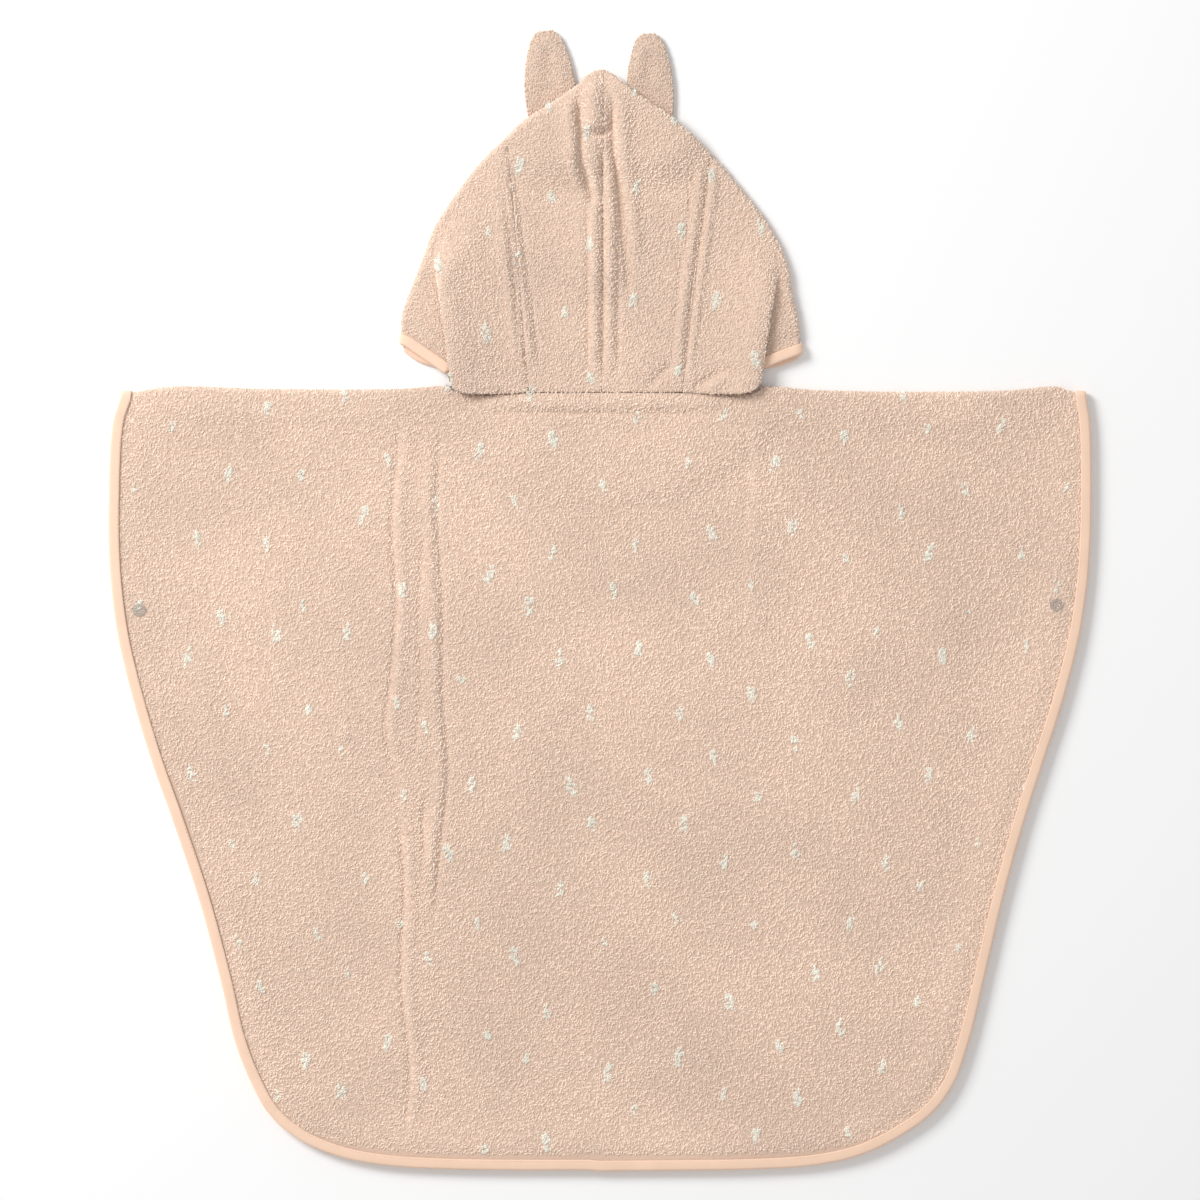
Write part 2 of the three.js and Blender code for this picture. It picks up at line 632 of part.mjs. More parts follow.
// The binding of the face opening: up one cheek, round the corner, along the brow and back
function makeHoodBinding() {
  const cheek = (rib, side) => {
    const outward = archOutward(rib);
    const end = hoodBackPoint(rib, 0).setZ(0);
    const start = new THREE.Vector3(rib.neckX, rib.neckY, 0);
    const along = end.clone().sub(start).normalize();
    const inward = new THREE.Vector3(along.y, -along.x, 0).multiplyScalar(side);
    const place = (share) => {
      const point = start.clone().lerp(end, share).addScaledVector(inward, -hoodInset);
      point.z = hoodBackPoint(rib, 1 - share).z;
      return { point, inward, normal: up };
    };
    const turnInward = new THREE.Vector3(-outward.y, outward.x, 0).multiplyScalar(-side);
    const corner = end.clone().addScaledVector(turnInward, -hoodInset);
    const stations = [0.1, 0.35, 0.65, 0.93].map(place);
    const turn = turnStations(corner, outward, turnInward, backEdgeLevel, frontEdgeLevel);
    return [...stations, ...turn];
  };
  const left = cheek(firstHoodRib, 1);
  const right = cheek(lastHoodRib, -1);
  const browOuter = offsetPolyline(brow, -hoodInset).slice(2, -2);
  const under = edgeStations(browOuter, () => frontEdgeLevel, down);
  return carryBinding([...left, ...under, ...right.reverse()], false);
}

// An ear is two pieces of terry sewn together round their edge
function makeEar({ base, tip, share }, upper) {
  const from = new THREE.Vector3(base.x, base.y, 0);
  const to = new THREE.Vector3(tip.x, tip.y, 0);
  const along = to.clone().sub(from).normalize();
  const across = new THREE.Vector3(along.y, -along.x, 0);
  const length = from.distanceTo(to);
  const stations = earWidths.filter((row) => row.fromTip < length).reverse();
  const places = [-1, -0.82, -0.5, 0, 0.5, 0.82, 1];
  const bottom = upper ? earWall + seamGap : 0;
  const middle = (i, j) => {
    const row = j === 0 ? { fromTip: length, half: earWidths.at(-1).half } : stations[j - 1];
    const point = to.clone().addScaledVector(along, -row.fromTip);
    point.addScaledVector(across, places[i] * row.half * share);
    const clear = smooth(length - row.fromTip, 26, 44) * smooth(row.fromTip, 0, 16);
    const puff = upper ? earPuff * clear * (1 - places[i] ** 2) : 0;
    point.z = bottom + earWall / 2 + puff;
    return point;
  };
  const half = () => [earWall / 2, earWall / 2];
  return wallFromGrid(places.length, stations.length + 1, middle, half);
}

// A snap half: a dished cap outside the cloth, a post through it and a flange inside.
// Heights are counted from the middle of the cloth, outwards.
function snapProfile(half) {
  const { cap, capHeight, post, flange, flangeHeight } = snapSize;
  const top = half + 0.1;
  const inner = -half - seamGap;
  const dish = 0.35;
  return [
    [0, inner - flangeHeight], [flange / 2, inner - flangeHeight], [flange / 2, inner],
    [post / 2, inner], [post / 2, top - capHeight], [cap / 2, top - capHeight],
    [cap / 2, top - dish], [cap / 2 - 0.4, top], [cap / 4 + 0.3, top], [cap / 4, top - dish],
    [0, top - dish],
  ].map(([radius, height]) => new THREE.Vector2(radius, height));
}

function snapCutProfile(half) {
  const { cap, capHeight, post, flange } = snapSize;
  const floor = half + 0.1 - capHeight - seamGap;
  return [
    [0, -half - 1], [flange / 2 + seamGap, -half - 1], [flange / 2 + seamGap, -half],
    [post / 2 + seamGap, -half], [post / 2 + seamGap, floor],
    [cap / 2 + seamGap, floor], [cap / 2 + seamGap, half + 1], [0, half + 1],
  ].map(([radius, height]) => new THREE.Vector2(radius, height));
}

const snapSides = 20;
function snapGeometry(profile, x, y, height, outwardUp) {
  const geometry = new THREE.LatheGeometry(profile, snapSides);
  geometry.rotateX(outwardUp ? Math.PI / 2 : -Math.PI / 2);
  geometry.translate(x, y, height);
  return geometry;
}

const wasm = await Module();
wasm.setup();

// A geometry with its shared vertices merged and its faces turned outward
function tidy(geometry) {
  geometry.deleteAttribute('normal');
  geometry.deleteAttribute('uv');
  const merged = mergeVertices(geometry, 1e-4);
  const position = merged.getAttribute('position');
  const index = [...merged.index.array];
  const corner = (k) => new THREE.Vector3().fromBufferAttribute(position, k);
  let volume = 0;
  const whole = [];
  for (let k = 0; k < index.length; k += 3) {
    const [a, b, c] = index.slice(k, k + 3);
    if (a === b || b === c || c === a) continue;
    whole.push(a, b, c);
    volume += corner(a).dot(corner(b).cross(corner(c)));
  }
  if (volume < 0) whole.reverse();
  merged.setIndex(whole);
  return merged;
}

function toSolid(geometry) {
  const merged = tidy(geometry);
  const mesh = new wasm.Mesh({
    numProp: 3,
    vertProperties: merged.getAttribute('position').array,
    triVerts: Uint32Array.from(merged.index.array),
  });
  return new wasm.Manifold(mesh);
}

function fromSolid(solid) {
  const { vertProperties, triVerts } = solid.getMesh();
  const geometry = new THREE.BufferGeometry();
  geometry.setAttribute('position', new THREE.Float32BufferAttribute(vertProperties, 3));
  geometry.setIndex([...triVerts]);
  return geometry;
}

const garment = new THREE.Group();
function addPiece(name, geometry, finish) {
  const whole = tidy(geometry);
  whole.computeVertexNormals();
  const mesh = new THREE.Mesh(whole, new THREE.MeshStandardMaterial(finish));
  mesh.name = name;
  garment.add(mesh);
}

// The body with the snaps' seats and post holes cut into both layers
let body = toSolid(makeBody());
const clothHalf = clothThickness / 2;
for (const [name, { x, y }] of Object.entries(snaps)) {
  const layers = { back: backHeight(x, y), front: frontLevel };
  for (const [layer, height] of Object.entries(layers)) {
    const outwardUp = layer === 'back';
    body = body.subtract(toSolid(snapGeometry(snapCutProfile(clothHalf), x, y, height, outwardUp)));
    const lowered = outwardUp ? height : height + 0.1;
    addPiece(`${name}_${layer}`, snapGeometry(snapProfile(clothHalf), x, y, lowered, outwardUp), clearPlastic);
  }
}
addPiece('body', fromSolid(body), terry);
addPiece('body_binding', makeBodyBinding(), bindingCloth);
addPiece('neck_binding', makeNeckBinding(), bindingCloth);
for (const [name, ribs] of Object.entries(hoodRibs)) {
  const fine = name.includes('centre') ? refineRibs(ribs) : ribs;
  addPiece(name, makeHoodPanel(fine), terry);
}
addPiece('hood_binding', makeHoodBinding(), bindingCloth);
for (const [name, ear] of Object.entries(ears)) {
  addPiece(`${name}_front`, makeEar(ear, false), terry);
  addPiece(`${name}_back`, makeEar(ear, true), terry);
}

export default garment;
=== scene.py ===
# Hooded bath poncho in peach terry, laid flat with its back up: the visual model.
import math
import bpy
import numpy as np
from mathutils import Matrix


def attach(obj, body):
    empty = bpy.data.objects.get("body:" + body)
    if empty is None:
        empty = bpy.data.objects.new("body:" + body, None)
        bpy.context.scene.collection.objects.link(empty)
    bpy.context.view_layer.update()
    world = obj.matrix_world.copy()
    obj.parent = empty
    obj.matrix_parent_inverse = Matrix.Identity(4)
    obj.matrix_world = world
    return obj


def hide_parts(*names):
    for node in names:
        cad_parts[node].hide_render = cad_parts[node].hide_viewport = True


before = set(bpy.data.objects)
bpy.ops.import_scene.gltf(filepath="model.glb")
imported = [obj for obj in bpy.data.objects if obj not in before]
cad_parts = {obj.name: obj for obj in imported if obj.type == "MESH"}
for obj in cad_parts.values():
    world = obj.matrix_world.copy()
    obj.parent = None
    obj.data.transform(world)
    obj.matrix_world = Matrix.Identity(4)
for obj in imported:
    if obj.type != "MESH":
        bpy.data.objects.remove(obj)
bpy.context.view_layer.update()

# Tables and sizes below are millimetres, and mm turns them into metres.
mm = 0.001
randomness = np.random.default_rng(11)

cloth = {
    "thickness": 2.4, "boundThickness": 1.2, "frontLevel": 1.2, "frontEdgeLevel": 1.9,
    "backLevel": 4.0, "hoodLevel": 4.6, "backEdgeLevel": 6.2, "neckLevel": 5.15, "edgeSettle": 42,
    "neckImprint": 1.8, "bindingWidth": 8, "bindingWall": 1.0, "edgeInset": 1.95,
    "pileDepth": 0.55, "pitch": 2.8, "layerLimit": 3.65,
    "boundTo": 11, "fullFrom": 15,
}
turnRadius = (cloth["backEdgeLevel"] - cloth["frontLevel"]) / 2
turnInset = turnRadius + cloth["thickness"] / 2

# Body outline: height of the row, then where the left and right edges are
bodyOutline = np.array([
    (152.8, -359, 364), (132, -365, 367), (75, -368, 368), (30, -367.5, 366.5),
    (0, -365, 363.5), (-30, -360.5, 358.5), (-75, -349.5, 347), (-120, -336, 332.5),
    (-165, -320, 318), (-225, -300, 301.5), (-285, -284, 287.5), (-330, -273.5, 276.5),
    (-362, -261, 265), (-384, -248.5, 249), (-402, -228.5, 224), (-415, -201, 197),
    (-422.5, -168, 166), (-426, -122, 122), (-427, 0, 0),
])
shoulderLine = [
    (-359, 156.5), (-350, 156.5), (-318, 160.5), (-255, 158.5), (-150, 158.5), (-111, 161),
    (120, 161), (165, 157.5), (300, 157), (345, 160), (354, 156.5), (364, 156.5),
]
neck = {"left": -112, "right": 121, "backDrop": 7, "frontDrop": 62}
snapPlaces = [(-345, -7.5), (342, -3.75)]

# Creases: height, width and path of each ridge or trough in the back
bodyCreases = [
    (1.8, 24, [(-143, 150), (-141, 0), (-138, -130), (-137, -260), (-146, -412)]),
    (1.3, 4.5, [(-141, 158), (-150, 60), (-147, 0), (-151, -60), (-155, -98), (-143, -150)]),
    (1.2, 4, [(-148, -140), (-141, -210), (-143, -285), (-137, -350), (-142, -418)]),
    (-2.0, 2.2, [(-147, 158), (-156, 60), (-153, 0), (-157, -60), (-161, -98), (-149, -150)]),
    (-1.8, 2.2, [(-154, -140), (-147, -210), (-149, -285), (-143, -350), (-148, -418)]),
    (1.4, 4, [(-125, 150), (-129, 70), (-125, 0), (-124, -70), (-120, -128), (-127, -195), (-130, -248)]),
    (-1.8, 2.0, [(-119, 150), (-122, 70), (-118, 0), (-118, -70), (-114, -128), (-121, -195), (-124, -248)]),
    (-1.0, 2.4, [(-131, 60), (-136, 0), (-135, -70), (-140, -120)]),
    (2.0, 4, [(-196, -92), (-184, -112), (-170, -130), (-154, -154)]),
    (-1.6, 2.6, [(-194, -100), (-180, -120), (-168, -137), (-155, -158)]),
    (1.0, 7, [(116, 150), (118, 90), (115, 30), (117, -40)]),
    (-0.8, 3, [(110, 150), (111, 90), (109, 40)]),
    (-2.0, 2.2, [(-132, -148), (-133, -170), (-131, -196)]),
    (2.4, 3.2, [(-100, 147), (-60, 146.5), (-30, 146), (40, 146), (70, 147), (108, 147)]),
    (-2.2, 1.8, [(-98, 141), (-60, 141), (-30, 140.5), (40, 140.5), (70, 141), (96, 141.5)]),
    (1.3, 9, [(-340, 150), (-250, 143), (-160, 141)]),
    (-1.3, 5, [(-340, 139), (-250, 132), (-170, 131)]),
    (1.2, 12, [(-300, -20), (-290, -120), (-262, -240)]),
    (1.0, 14, [(250, 60), (262, -60), (240, -210)]),
    (-0.9, 6, [(-236, -60), (-226, -120), (-205, -160)]),
]

# Hood: its arch, the brow line under it, and the ribs from arch to neck as in the frame
hoodArch = [
    (-150, 194), (-149, 212), (-142, 233), (-133, 256), (-125, 278), (-107, 306), (-88, 330),
    (-73, 344), (-56, 360), (-36, 373), (-17, 386), (-9, 394), (1, 398), (10, 394), (22, 384),
    (55, 361), (80, 338), (107, 307), (129, 277), (141, 250), (144, 232), (148, 214), (152, 187),
]
browLine = [(-146, 189), (-134, 181), (-100, 174), (0, 171), (100, 174), (136, 179), (148, 184)]

# Each rib: share of the arch, lower end across and up, and level in cloth layers
hoodRibs = {
    "hood_side_left": [
        (0, -110, 169, .55), (.017, -108.5, 168.5, .55), (.028, -107.5, 168.2, .55),
        (.07, -103, 167, .55), (.115, -98, 166, .55), (.126, -95.5, 166, .65),
        (.132, -94.5, 165.8, 1.2), (.138, -96, 165.6, 1.85), (.144, -108, 165.5, 1.85),
        (.149, -111.5, 165.3, 2.35), (.156, -109, 158, 2.85), (.175, -101, 154.6, 2.8),
        (.21, -88, 154, 1.85), (.27, -70, 154.5, .75), (.326, -54, 155.6, .2),
    ],
    "hood_centre_left": [
        (.328, -52.5, 155.6, .2), (.37, -42, 155.5, .05), (.415, -28, 155.5, 0),
        (.455, -14, 155.5, 0), (.476, -6, 155.5, 0), (.496, .3, 155.5, 0),
    ],
    "hood_centre_right": [
        (.499, 2.2, 155.5, 0), (.518, 9, 155.5, 0), (.54, 18, 155.5, 0),
        (.59, 34, 155.5, 0), (.64, 48, 155.5, .05), (.691, 61, 155.6, .2),
    ],
    "hood_side_right": [
        (.693, 62.4, 155.6, .2), (.75, 76, 154.5, .75), (.81, 94, 154, 1.85), (.84, 108, 154.6, 2.8),
        (.856, 117, 158, 2.85), (.862, 119.5, 165.3, 2.35), (.867, 116, 165.5, 1.85),
        (.874, 106, 165.6, 1.85), (.88, 104.5, 165.8, 1.2), (.886, 105.5, 166, .65),
        (.897, 107, 167, .55), (.935, 111, 170, .55), (.972, 115.5, 173, .55),
        (.983, 117, 173.8, .55), (1, 118.5, 175, .55),
    ],
}
# Seams and troughs of the hood's back, as height, width and path
hoodCreases = [
    (-2.4, 1.8, [(1.5, 340), (2, 280), (1.5, 156)]),
    (1.7, 2.8, [(-4.5, 350), (-4, 280), (-4, 160)]),
    (1.7, 2.8, [(7.5, 340), (8, 280), (7, 160)]),
    (-1.0, 1.8, [(-10, 300), (-9.5, 240), (-9.5, 160)]),
    (-1.0, 1.8, [(13, 300), (13.5, 240), (13, 160)]),
    (2.8, 24, [(-2, 398), (0, 350), (1, 290), (1, 215)]),
    (1.0, 16, [(-66, 330), (-58, 250), (-52, 162)]),
    (1.0, 16, [(80, 330), (72, 250), (60, 162)]),
    (-4.6, 3.4, [(-17, 386), (-15, 350), (-14, 326), (-8, 308), (-3, 292)]),
    (2.0, 4.0, [(-24, 382), (-22, 350), (-20, 326), (-13, 306)]),
    (-4.6, 3.2, [(8.5, 384), (9.5, 338), (15, 300), (19, 262), (22, 225)]),
    (1.8, 4.5, [(17, 380), (18, 338), (24, 300), (28, 250)]),
    (3.0, 7.0, [(-4, 392), (-4, 372), (-3, 350)]),
    (-3.0, 3.0, [(-14, 352), (-4, 348), (8, 351)]),
    (-1.8, 1.5, [(-76, 338), (-70, 285), (-64, 240), (-54, 160)]),
    (1.5, 2.6, [(-81, 334), (-75, 285), (-69, 240), (-59, 162)]),
    (1.5, 2.6, [(-71, 336), (-65, 285), (-59, 240), (-49, 162)]),
    (-0.9, 1.6, [(-65.5, 332), (-59.5, 285), (-53.5, 240), (-43.5, 162)]),
    (-1.8, 1.5, [(82, 334), (77, 290), (68, 225), (62, 160)]),
    (1.5, 2.6, [(87, 330), (82, 290), (73, 225), (67, 162)]),
    (1.5, 2.6, [(77, 336), (72, 290), (63, 225), (57, 162)]),
    (-0.9, 1.6, [(71.5, 334), (66.5, 290), (57.5, 225), (51.5, 162)]),
    (-1.8, 3.2, [(54, 178), (43, 167), (34, 159)]),
    (-2.0, 3.2, [(104, 172), (92, 172), (78, 164), (68, 157)]),
    (1.8, 4.0, [(112, 164), (94, 164), (80, 158)]),
    (-1.6, 3.0, [(-104, 170), (-90, 170), (-74, 162)]),
    (1.6, 4.0, [(-106, 163), (-90, 163), (-76, 157)]),
]
ears = {
    "ear_left": {"base": (-35, 353), "tip": (-41, 426.7), "share": 1},
    "ear_right": {"base": (38, 353), "tip": (36.5, 424.5), "share": 0.93},
}
earWidths = [(0, 4.5), (2, 8), (6, 10.8), (12, 13.2), (20, 15.6), (32, 18), (48, 19), (74, 17)]
earSizes = {"wall": 2, "puff": 2.2, "lift": 5.2, "near": 27, "far": 56}


def smoothStep(value, low, high):
    t = np.clip((value - low) / (high - low), 0, 1)
    return t * t * (3 - 2 * t)


def blend(a, b, t):
    return a + (b - a) * t


# A curve through points whose tangents follow the square root of the spacing
def splineThrough(points, count):
    p = np.asarray(points, float)
    q = np.vstack([2 * p[0] - p[1], p, 2 * p[-1] - p[-2]])
    t = np.linspace(0, len(p) - 1, count + 1)
    k = np.minimum(t.astype(int), len(p) - 2)
    w = (t - k)[:, None]
    a, b, c, d = q[k], q[k + 1], q[k + 2], q[k + 3]
    ab, bc, cd = (np.linalg.norm(v, axis=1)[:, None] ** 0.5 for v in (b - a, c - b, d - c))
    startTangent = ((b - a) / ab - (c - a) / (ab + bc) + (c - b) / bc) * bc
    endTangent = ((c - b) / bc - (d - b) / (bc + cd) + (d - c) / cd) * bc
    third = 3 * (c - b) - 2 * startTangent - endTangent
    fourth = 2 * (b - c) + startTangent + endTangent
    return b + startTangent * w + third * w ** 2 + fourth * w ** 3


# Points at shares of a path's length, with the path's directions there
def alongPath(path, share):
    steps = np.linalg.norm(np.diff(path, axis=0), axis=1)
    lengths = np.r_[0, np.cumsum(steps)]
    target = np.clip(share, 0, 1) * lengths[-1]
    point = np.stack([np.interp(target, lengths, path[:, k]) for k in range(2)], -1)
    k = np.clip(np.searchsorted(lengths, target) - 1, 0, len(steps) - 1)
    direction = (path[k + 1] - path[k]) / steps[k][..., None]
    return point, direction


# Distances from points to a path, with the share of its segments where each is nearest
def nearestOn(path, x, y):
    path = np.asarray(path, float)
    best = np.full(x.shape, 1e9)
    share = np.zeros(x.shape)
    for k in range(len(path) - 1):
        start, step = path[k], path[k + 1] - path[k]
        t = np.clip(((x - start[0]) * step[0] + (y - start[1]) * step[1]) / (step @ step), 0, 1)
        distance = np.hypot(x - start[0] - t * step[0], y - start[1] - t * step[1])
        closer = distance < best
        best = np.where(closer, distance, best)
        share = np.where(closer, (k + t) / (len(path) - 1), share)
    return best, share


# A path moved to its left by a distance
def offsetPath(path, distance):
    along = np.gradient(path, axis=0)
    along /= np.linalg.norm(along, axis=1)[:, None]
    return path + np.stack([-along[:, 1], along[:, 0]], -1) * distance


# Sum of bell-shaped ridges and troughs, each fading at the ends of its path
def creaseHeight(creases, x, y):
    height = np.zeros(x.shape)
    for rise, width, path in creases:
        distance, share = nearestOn(splineThrough(path, 24), x, y)
        fade = smoothStep(share, 0, 0.16) * (1 - smoothStep(share, 0.84, 1))
        height += rise * np.exp(-(distance / width) ** 2) * fade
    return height


# Keeps a layer above the one under it: rises smoothly from the lowest level it may have
def restingOn(lowest, height):
    return lowest + np.logaddexp(0, (height - lowest) / 0.2) * 0.2


leftRows = [(left, y) for y, left, right in bodyOutline]
rightRows = [(right, y) for y, left, right in bodyOutline[:-1][::-1]]
outline = splineThrough(leftRows + rightRows, 520)
clothEdge = offsetPath(outline, cloth["edgeInset"])
shoulder = splineThrough(shoulderLine, 80)


# Height up the sheet of the line where the cloth turns over at the shoulders
def shoulderTurnY(x):
    return np.interp(x, shoulder[:, 0], shoulder[:, 1]) - turnInset


# Front neckline: the turn line lowered by a flat-bottomed bowl
def scoopDrop(x):
    across = np.abs(x - (neck["left"] + neck["right"]) / 2) / ((neck["right"] - neck["left"]) / 2)
    return neck["frontDrop"] * (1 - np.clip(across, 0, 1) ** 2.2)


scoopX = np.linspace(neck["left"], neck["right"], 40)
scoop = np.stack([scoopX, shoulderTurnY(scoopX) - scoopDrop(scoopX)], -1)
fromCorner = [nearestOn(clothEdge, np.array([side]), np.array([-384.0]))[1][0] for side in (-248.5, 249.0)]
cornerAt = [int(round(share * 520)) for share in fromCorner]
leftSide = clothEdge[:cornerAt[0] + 1][::-1]
rightSide = clothEdge[cornerAt[1]:]
hemEdge = clothEdge[cornerAt[0]:cornerAt[1] + 1]
halfSpan = 368


# Height of the middle of the back layer: rim, neck, creases and what lies under it
def backHeight(x, y):
    fromTop = shoulderTurnY(np.clip(x, -358, 363)) - y
    fromSide = nearestOn(clothEdge[::4], x, y)[0]
    rim = 1 - smoothStep(np.minimum(fromSide, fromTop), 8, cloth["edgeSettle"])
    inNeck = smoothStep(x, neck["left"], neck["left"] + 20)
    inNeck = inNeck * (1 - smoothStep(x, neck["right"] - 20, neck["right"]))
    inNeck = inNeck * (1 - smoothStep(fromTop, 0, 40))
    rimLevel = blend(cloth["backEdgeLevel"], cloth["neckLevel"], inNeck)
    creased = 0.8 * creaseHeight(bodyCreases, x, y) * (1 - rim * (1 - 0.8 * inNeck))
    height = restingOn(cloth["layerLimit"], blend(cloth["backLevel"], rimLevel, rim) + creased)
    nearScoop = 1 - smoothStep(nearestOn(scoop, x, y)[0], 14, 36)
    height = height + cloth["neckImprint"] * nearScoop * (1 - rim)
    for snapX, snapY in snapPlaces:
        distance = np.hypot(x - snapX, y - snapY)
        height = height + 0.8 * np.exp(-(distance / 20) ** 2) * smoothStep(fromSide, 9, 16)
    return height


# 0 where the cloth is thin in its binding, rising smoothly to 1 where it is full
def fullShare(rim):
    return smoothStep(rim, cloth["boundTo"], cloth["fullFrom"])


# Height of the middle of the front layer, a little higher where it is bound
def frontHeight(x, y):
    rim = np.minimum(nearestOn(clothEdge[::4], x, y)[0], nearestOn(scoop, x, y)[0])
    return blend(cloth["frontEdgeLevel"], cloth["frontLevel"], fullShare(rim))


# Hem edge at a column's place, drawn in evenly to the hem's own span
def hemPoint(place):
    span = np.where(place < 0, -hemEdge[0, 0], hemEdge[-1, 0])
    ratio = place / halfSpan
    x = place - (halfSpan - span) * ratio * np.abs(ratio)
    return np.stack([x, np.interp(x, hemEdge[:, 0], hemEdge[:, 1])], -1)


# Top edge at a column's place: the shoulder's turn line, less the neckline's drop
def topPoint(place, layer):
    span = np.where(place < 0, -clothEdge[0, 0], clothEdge[-1, 0])
    ratio = place / halfSpan
    x = place - (halfSpan - span) * ratio * np.abs(ratio)
    across = np.abs(x - (neck["left"] + neck["right"]) / 2) / ((neck["right"] - neck["left"]) / 2)
    drop = neck["backDrop"] / 2 * smoothStep(1 - across, 0, 0.12)
    if layer == "front":
        drop = scoopDrop(x)
    return np.stack([x, shoulderTurnY(x) - drop], -1)


# Patch between hem, sides and top: a straight blend pulled out to the side curves
def patchPoint(place, share, layer):
    point = blend(hemPoint(place), topPoint(place, layer), share[..., None])
    for side, curve in ((-1, leftSide), (1, rightSide)):
        pull = np.clip(place * side / halfSpan, 0, 1) ** 4
        end = np.array([float(side * halfSpan)])
        straight = blend(hemPoint(end), topPoint(end, layer), share[..., None])
        point = point + (alongPath(curve, share)[0] - straight) * pull[..., None]
    return point


# Height that the ears' bases add to the hood above them
def hoodLift(x, y):
    lift = np.zeros(x.shape)
    for ear in ears.values():
        distance = np.hypot(x - ear["base"][0], y - ear["base"][1] - 6)
        away = smoothStep(distance, earSizes["near"], earSizes["far"])
        lift = np.maximum(lift, earSizes["lift"] * (1 - away))
    return lift


archTurn = offsetPath(splineThrough(hoodArch, 600), -turnInset)
brow = splineThrough(browLine, 120)
browEdge = np.vstack([archTurn[:1], brow, archTurn[-1:]])


# Back of the hood: straight ribs from the arch to the neck, with their levels
def hoodBackPoint(rib, fraction):
    start = alongPath(archTurn, rib[..., 0])[0]
    end = rib[..., 1:3]
    length = np.linalg.norm(end - start, axis=-1)
    point = blend(start, end, fraction[..., None])
    x, y = point[..., 0], point[..., 1]
    fromArch = length * fraction
    settled = smoothStep(fromArch / np.minimum(cloth["edgeSettle"], 0.8 * length), 0, 1)
    neckRise = (cloth["neckLevel"] - cloth["hoodLevel"]) * (1 - smoothStep(length - fromArch, 27, 60))
    level = cloth["hoodLevel"] + neckRise * np.clip(1 - rib[..., 3], 0, 1) + rib[..., 3] * cloth["pitch"]
    lift = hoodLift(x, y) * blend(1, 1.2, settled)
    height = blend(cloth["backEdgeLevel"], level, settled) + lift
    plain = 1 - smoothStep(rib[..., 3], 1.2, 1.9)
    height = height + creaseHeight(hoodCreases, x, y) * smoothStep(fromArch, 0, 8) * np.maximum(plain, 0.15)
    height = restingOn(cloth["layerLimit"] + hoodLift(x, y), height)
    return np.concatenate([point, height[..., None]], -1)


# Under layer of the hood: a straight blend from the arch to the brow, thin at its rims
def hoodUnderPoint(rib, fraction):
    start = alongPath(archTurn, rib[..., 0])[0]
    end = alongPath(brow, rib[..., 0])[0]
    point = blend(start, end, fraction[..., None])
    x, y = point[..., 0], point[..., 1]
    rim = nearestOn(browEdge[::4], x, y)[0]
    height = blend(cloth["frontEdgeLevel"], cloth["frontLevel"], fullShare(rim)) + hoodLift(x, y)
    return np.concatenate([point, height[..., None]], -1)


# The unit normal of a grid of points: the cross product of its two directions
def gridNormals(grid):
    across = np.gradient(grid, axis=1)
    along = np.gradient(grid, axis=0)
    normal = np.cross(across, along)
    return normal / np.maximum(np.linalg.norm(normal, axis=-1, keepdims=True), 1e-9)


# A mesh object from points in millimetres and its faces, riding on the garment
def makeObject(name, points, faces, smooth=True):
    mesh = bpy.data.meshes.new(name)
    mesh.from_pydata((points * mm).tolist(), [], faces.tolist())
    mesh.polygons.foreach_set("use_smooth", [smooth] * len(mesh.polygons))
    mesh.update()
    piece = bpy.data.objects.new(name, mesh)
    bpy.context.scene.collection.objects.link(piece)
    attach(piece, "root")
    return piece


# A closed shell on a grid: both faces of the kept cells, and a rim along their edges
def makeShell(name, grid, outerHalf, innerHalf, keep=None):
    rows, columns = grid.shape[:2]
    normal = gridNormals(grid)
    outer = grid + normal * outerHalf[..., None]
    inner = grid - normal * innerHalf[..., None]
    kept = np.ones((rows - 1, columns - 1), bool) if keep is None else keep
    index = np.arange(rows * columns).reshape(rows, columns)
    a, b, c, d = index[:-1, :-1], index[:-1, 1:], index[1:, 1:], index[1:, :-1]
    under = rows * columns
    faces = [np.stack([a, b, c, d], -1)[kept], np.stack([a, d, c, b], -1)[kept] + under]
    framed = np.pad(kept, 1)
    edges = (
        (framed[:-2, 1:-1], a, b), (framed[1:-1, 2:], b, c),
        (framed[2:, 1:-1], c, d), (framed[1:-1, :-2], d, a),
    )
    for beside, start, end in edges:
        bare = kept & ~beside
        faces.append(np.stack([end, start, start + under, end + under], -1)[bare])
    points = np.concatenate([outer.reshape(-1, 3), inner.reshape(-1, 3)])
    used, renumbered = np.unique(np.concatenate(faces), return_inverse=True)
    piece = makeObject(name, points[used], renumbered.reshape(-1, 4))
    return piece, outer, normal


# Common scattered dashes: staggered rows, each dash a little off its place and tilted
dashes = {"stepX": 62, "stepY": 43, "halfWide": 2.7, "halfLong": 6.6, "tilt": 0.35, "wander": 11}
gridX, gridY = np.meshgrid(np.arange(-7, 8), np.arange(-11, 11))
dashCentres = np.stack([
    (gridX + 0.5 * (gridY % 2)) * dashes["stepX"], gridY * dashes["stepY"] + 9.0 * gridX
], -1).reshape(-1, 2)
dashCentres += randomness.uniform(-dashes["wander"], dashes["wander"], dashCentres.shape)
dashTilts = randomness.uniform(-dashes["tilt"], dashes["tilt"], len(dashCentres))
dashScales = randomness.uniform(0.6, 1.12, len(dashCentres))


# How far inside a woven dash each place is: 1 within it, 0 away from it
def dashShare(x, y):
    inside = np.zeros(x.shape)
    for (cx, cy), tilt, scale in zip(dashCentres, dashTilts, dashScales):
        u = ((x - cx) * math.cos(tilt) - (y - cy) * math.sin(tilt)) / (dashes["halfWide"] * scale)
        v = ((x - cx) * math.sin(tilt) + (y - cy) * math.cos(tilt)) / (dashes["halfLong"] * scale)
        inside = np.maximum(inside, (u * u + v * v < 1).astype(float))
    return inside


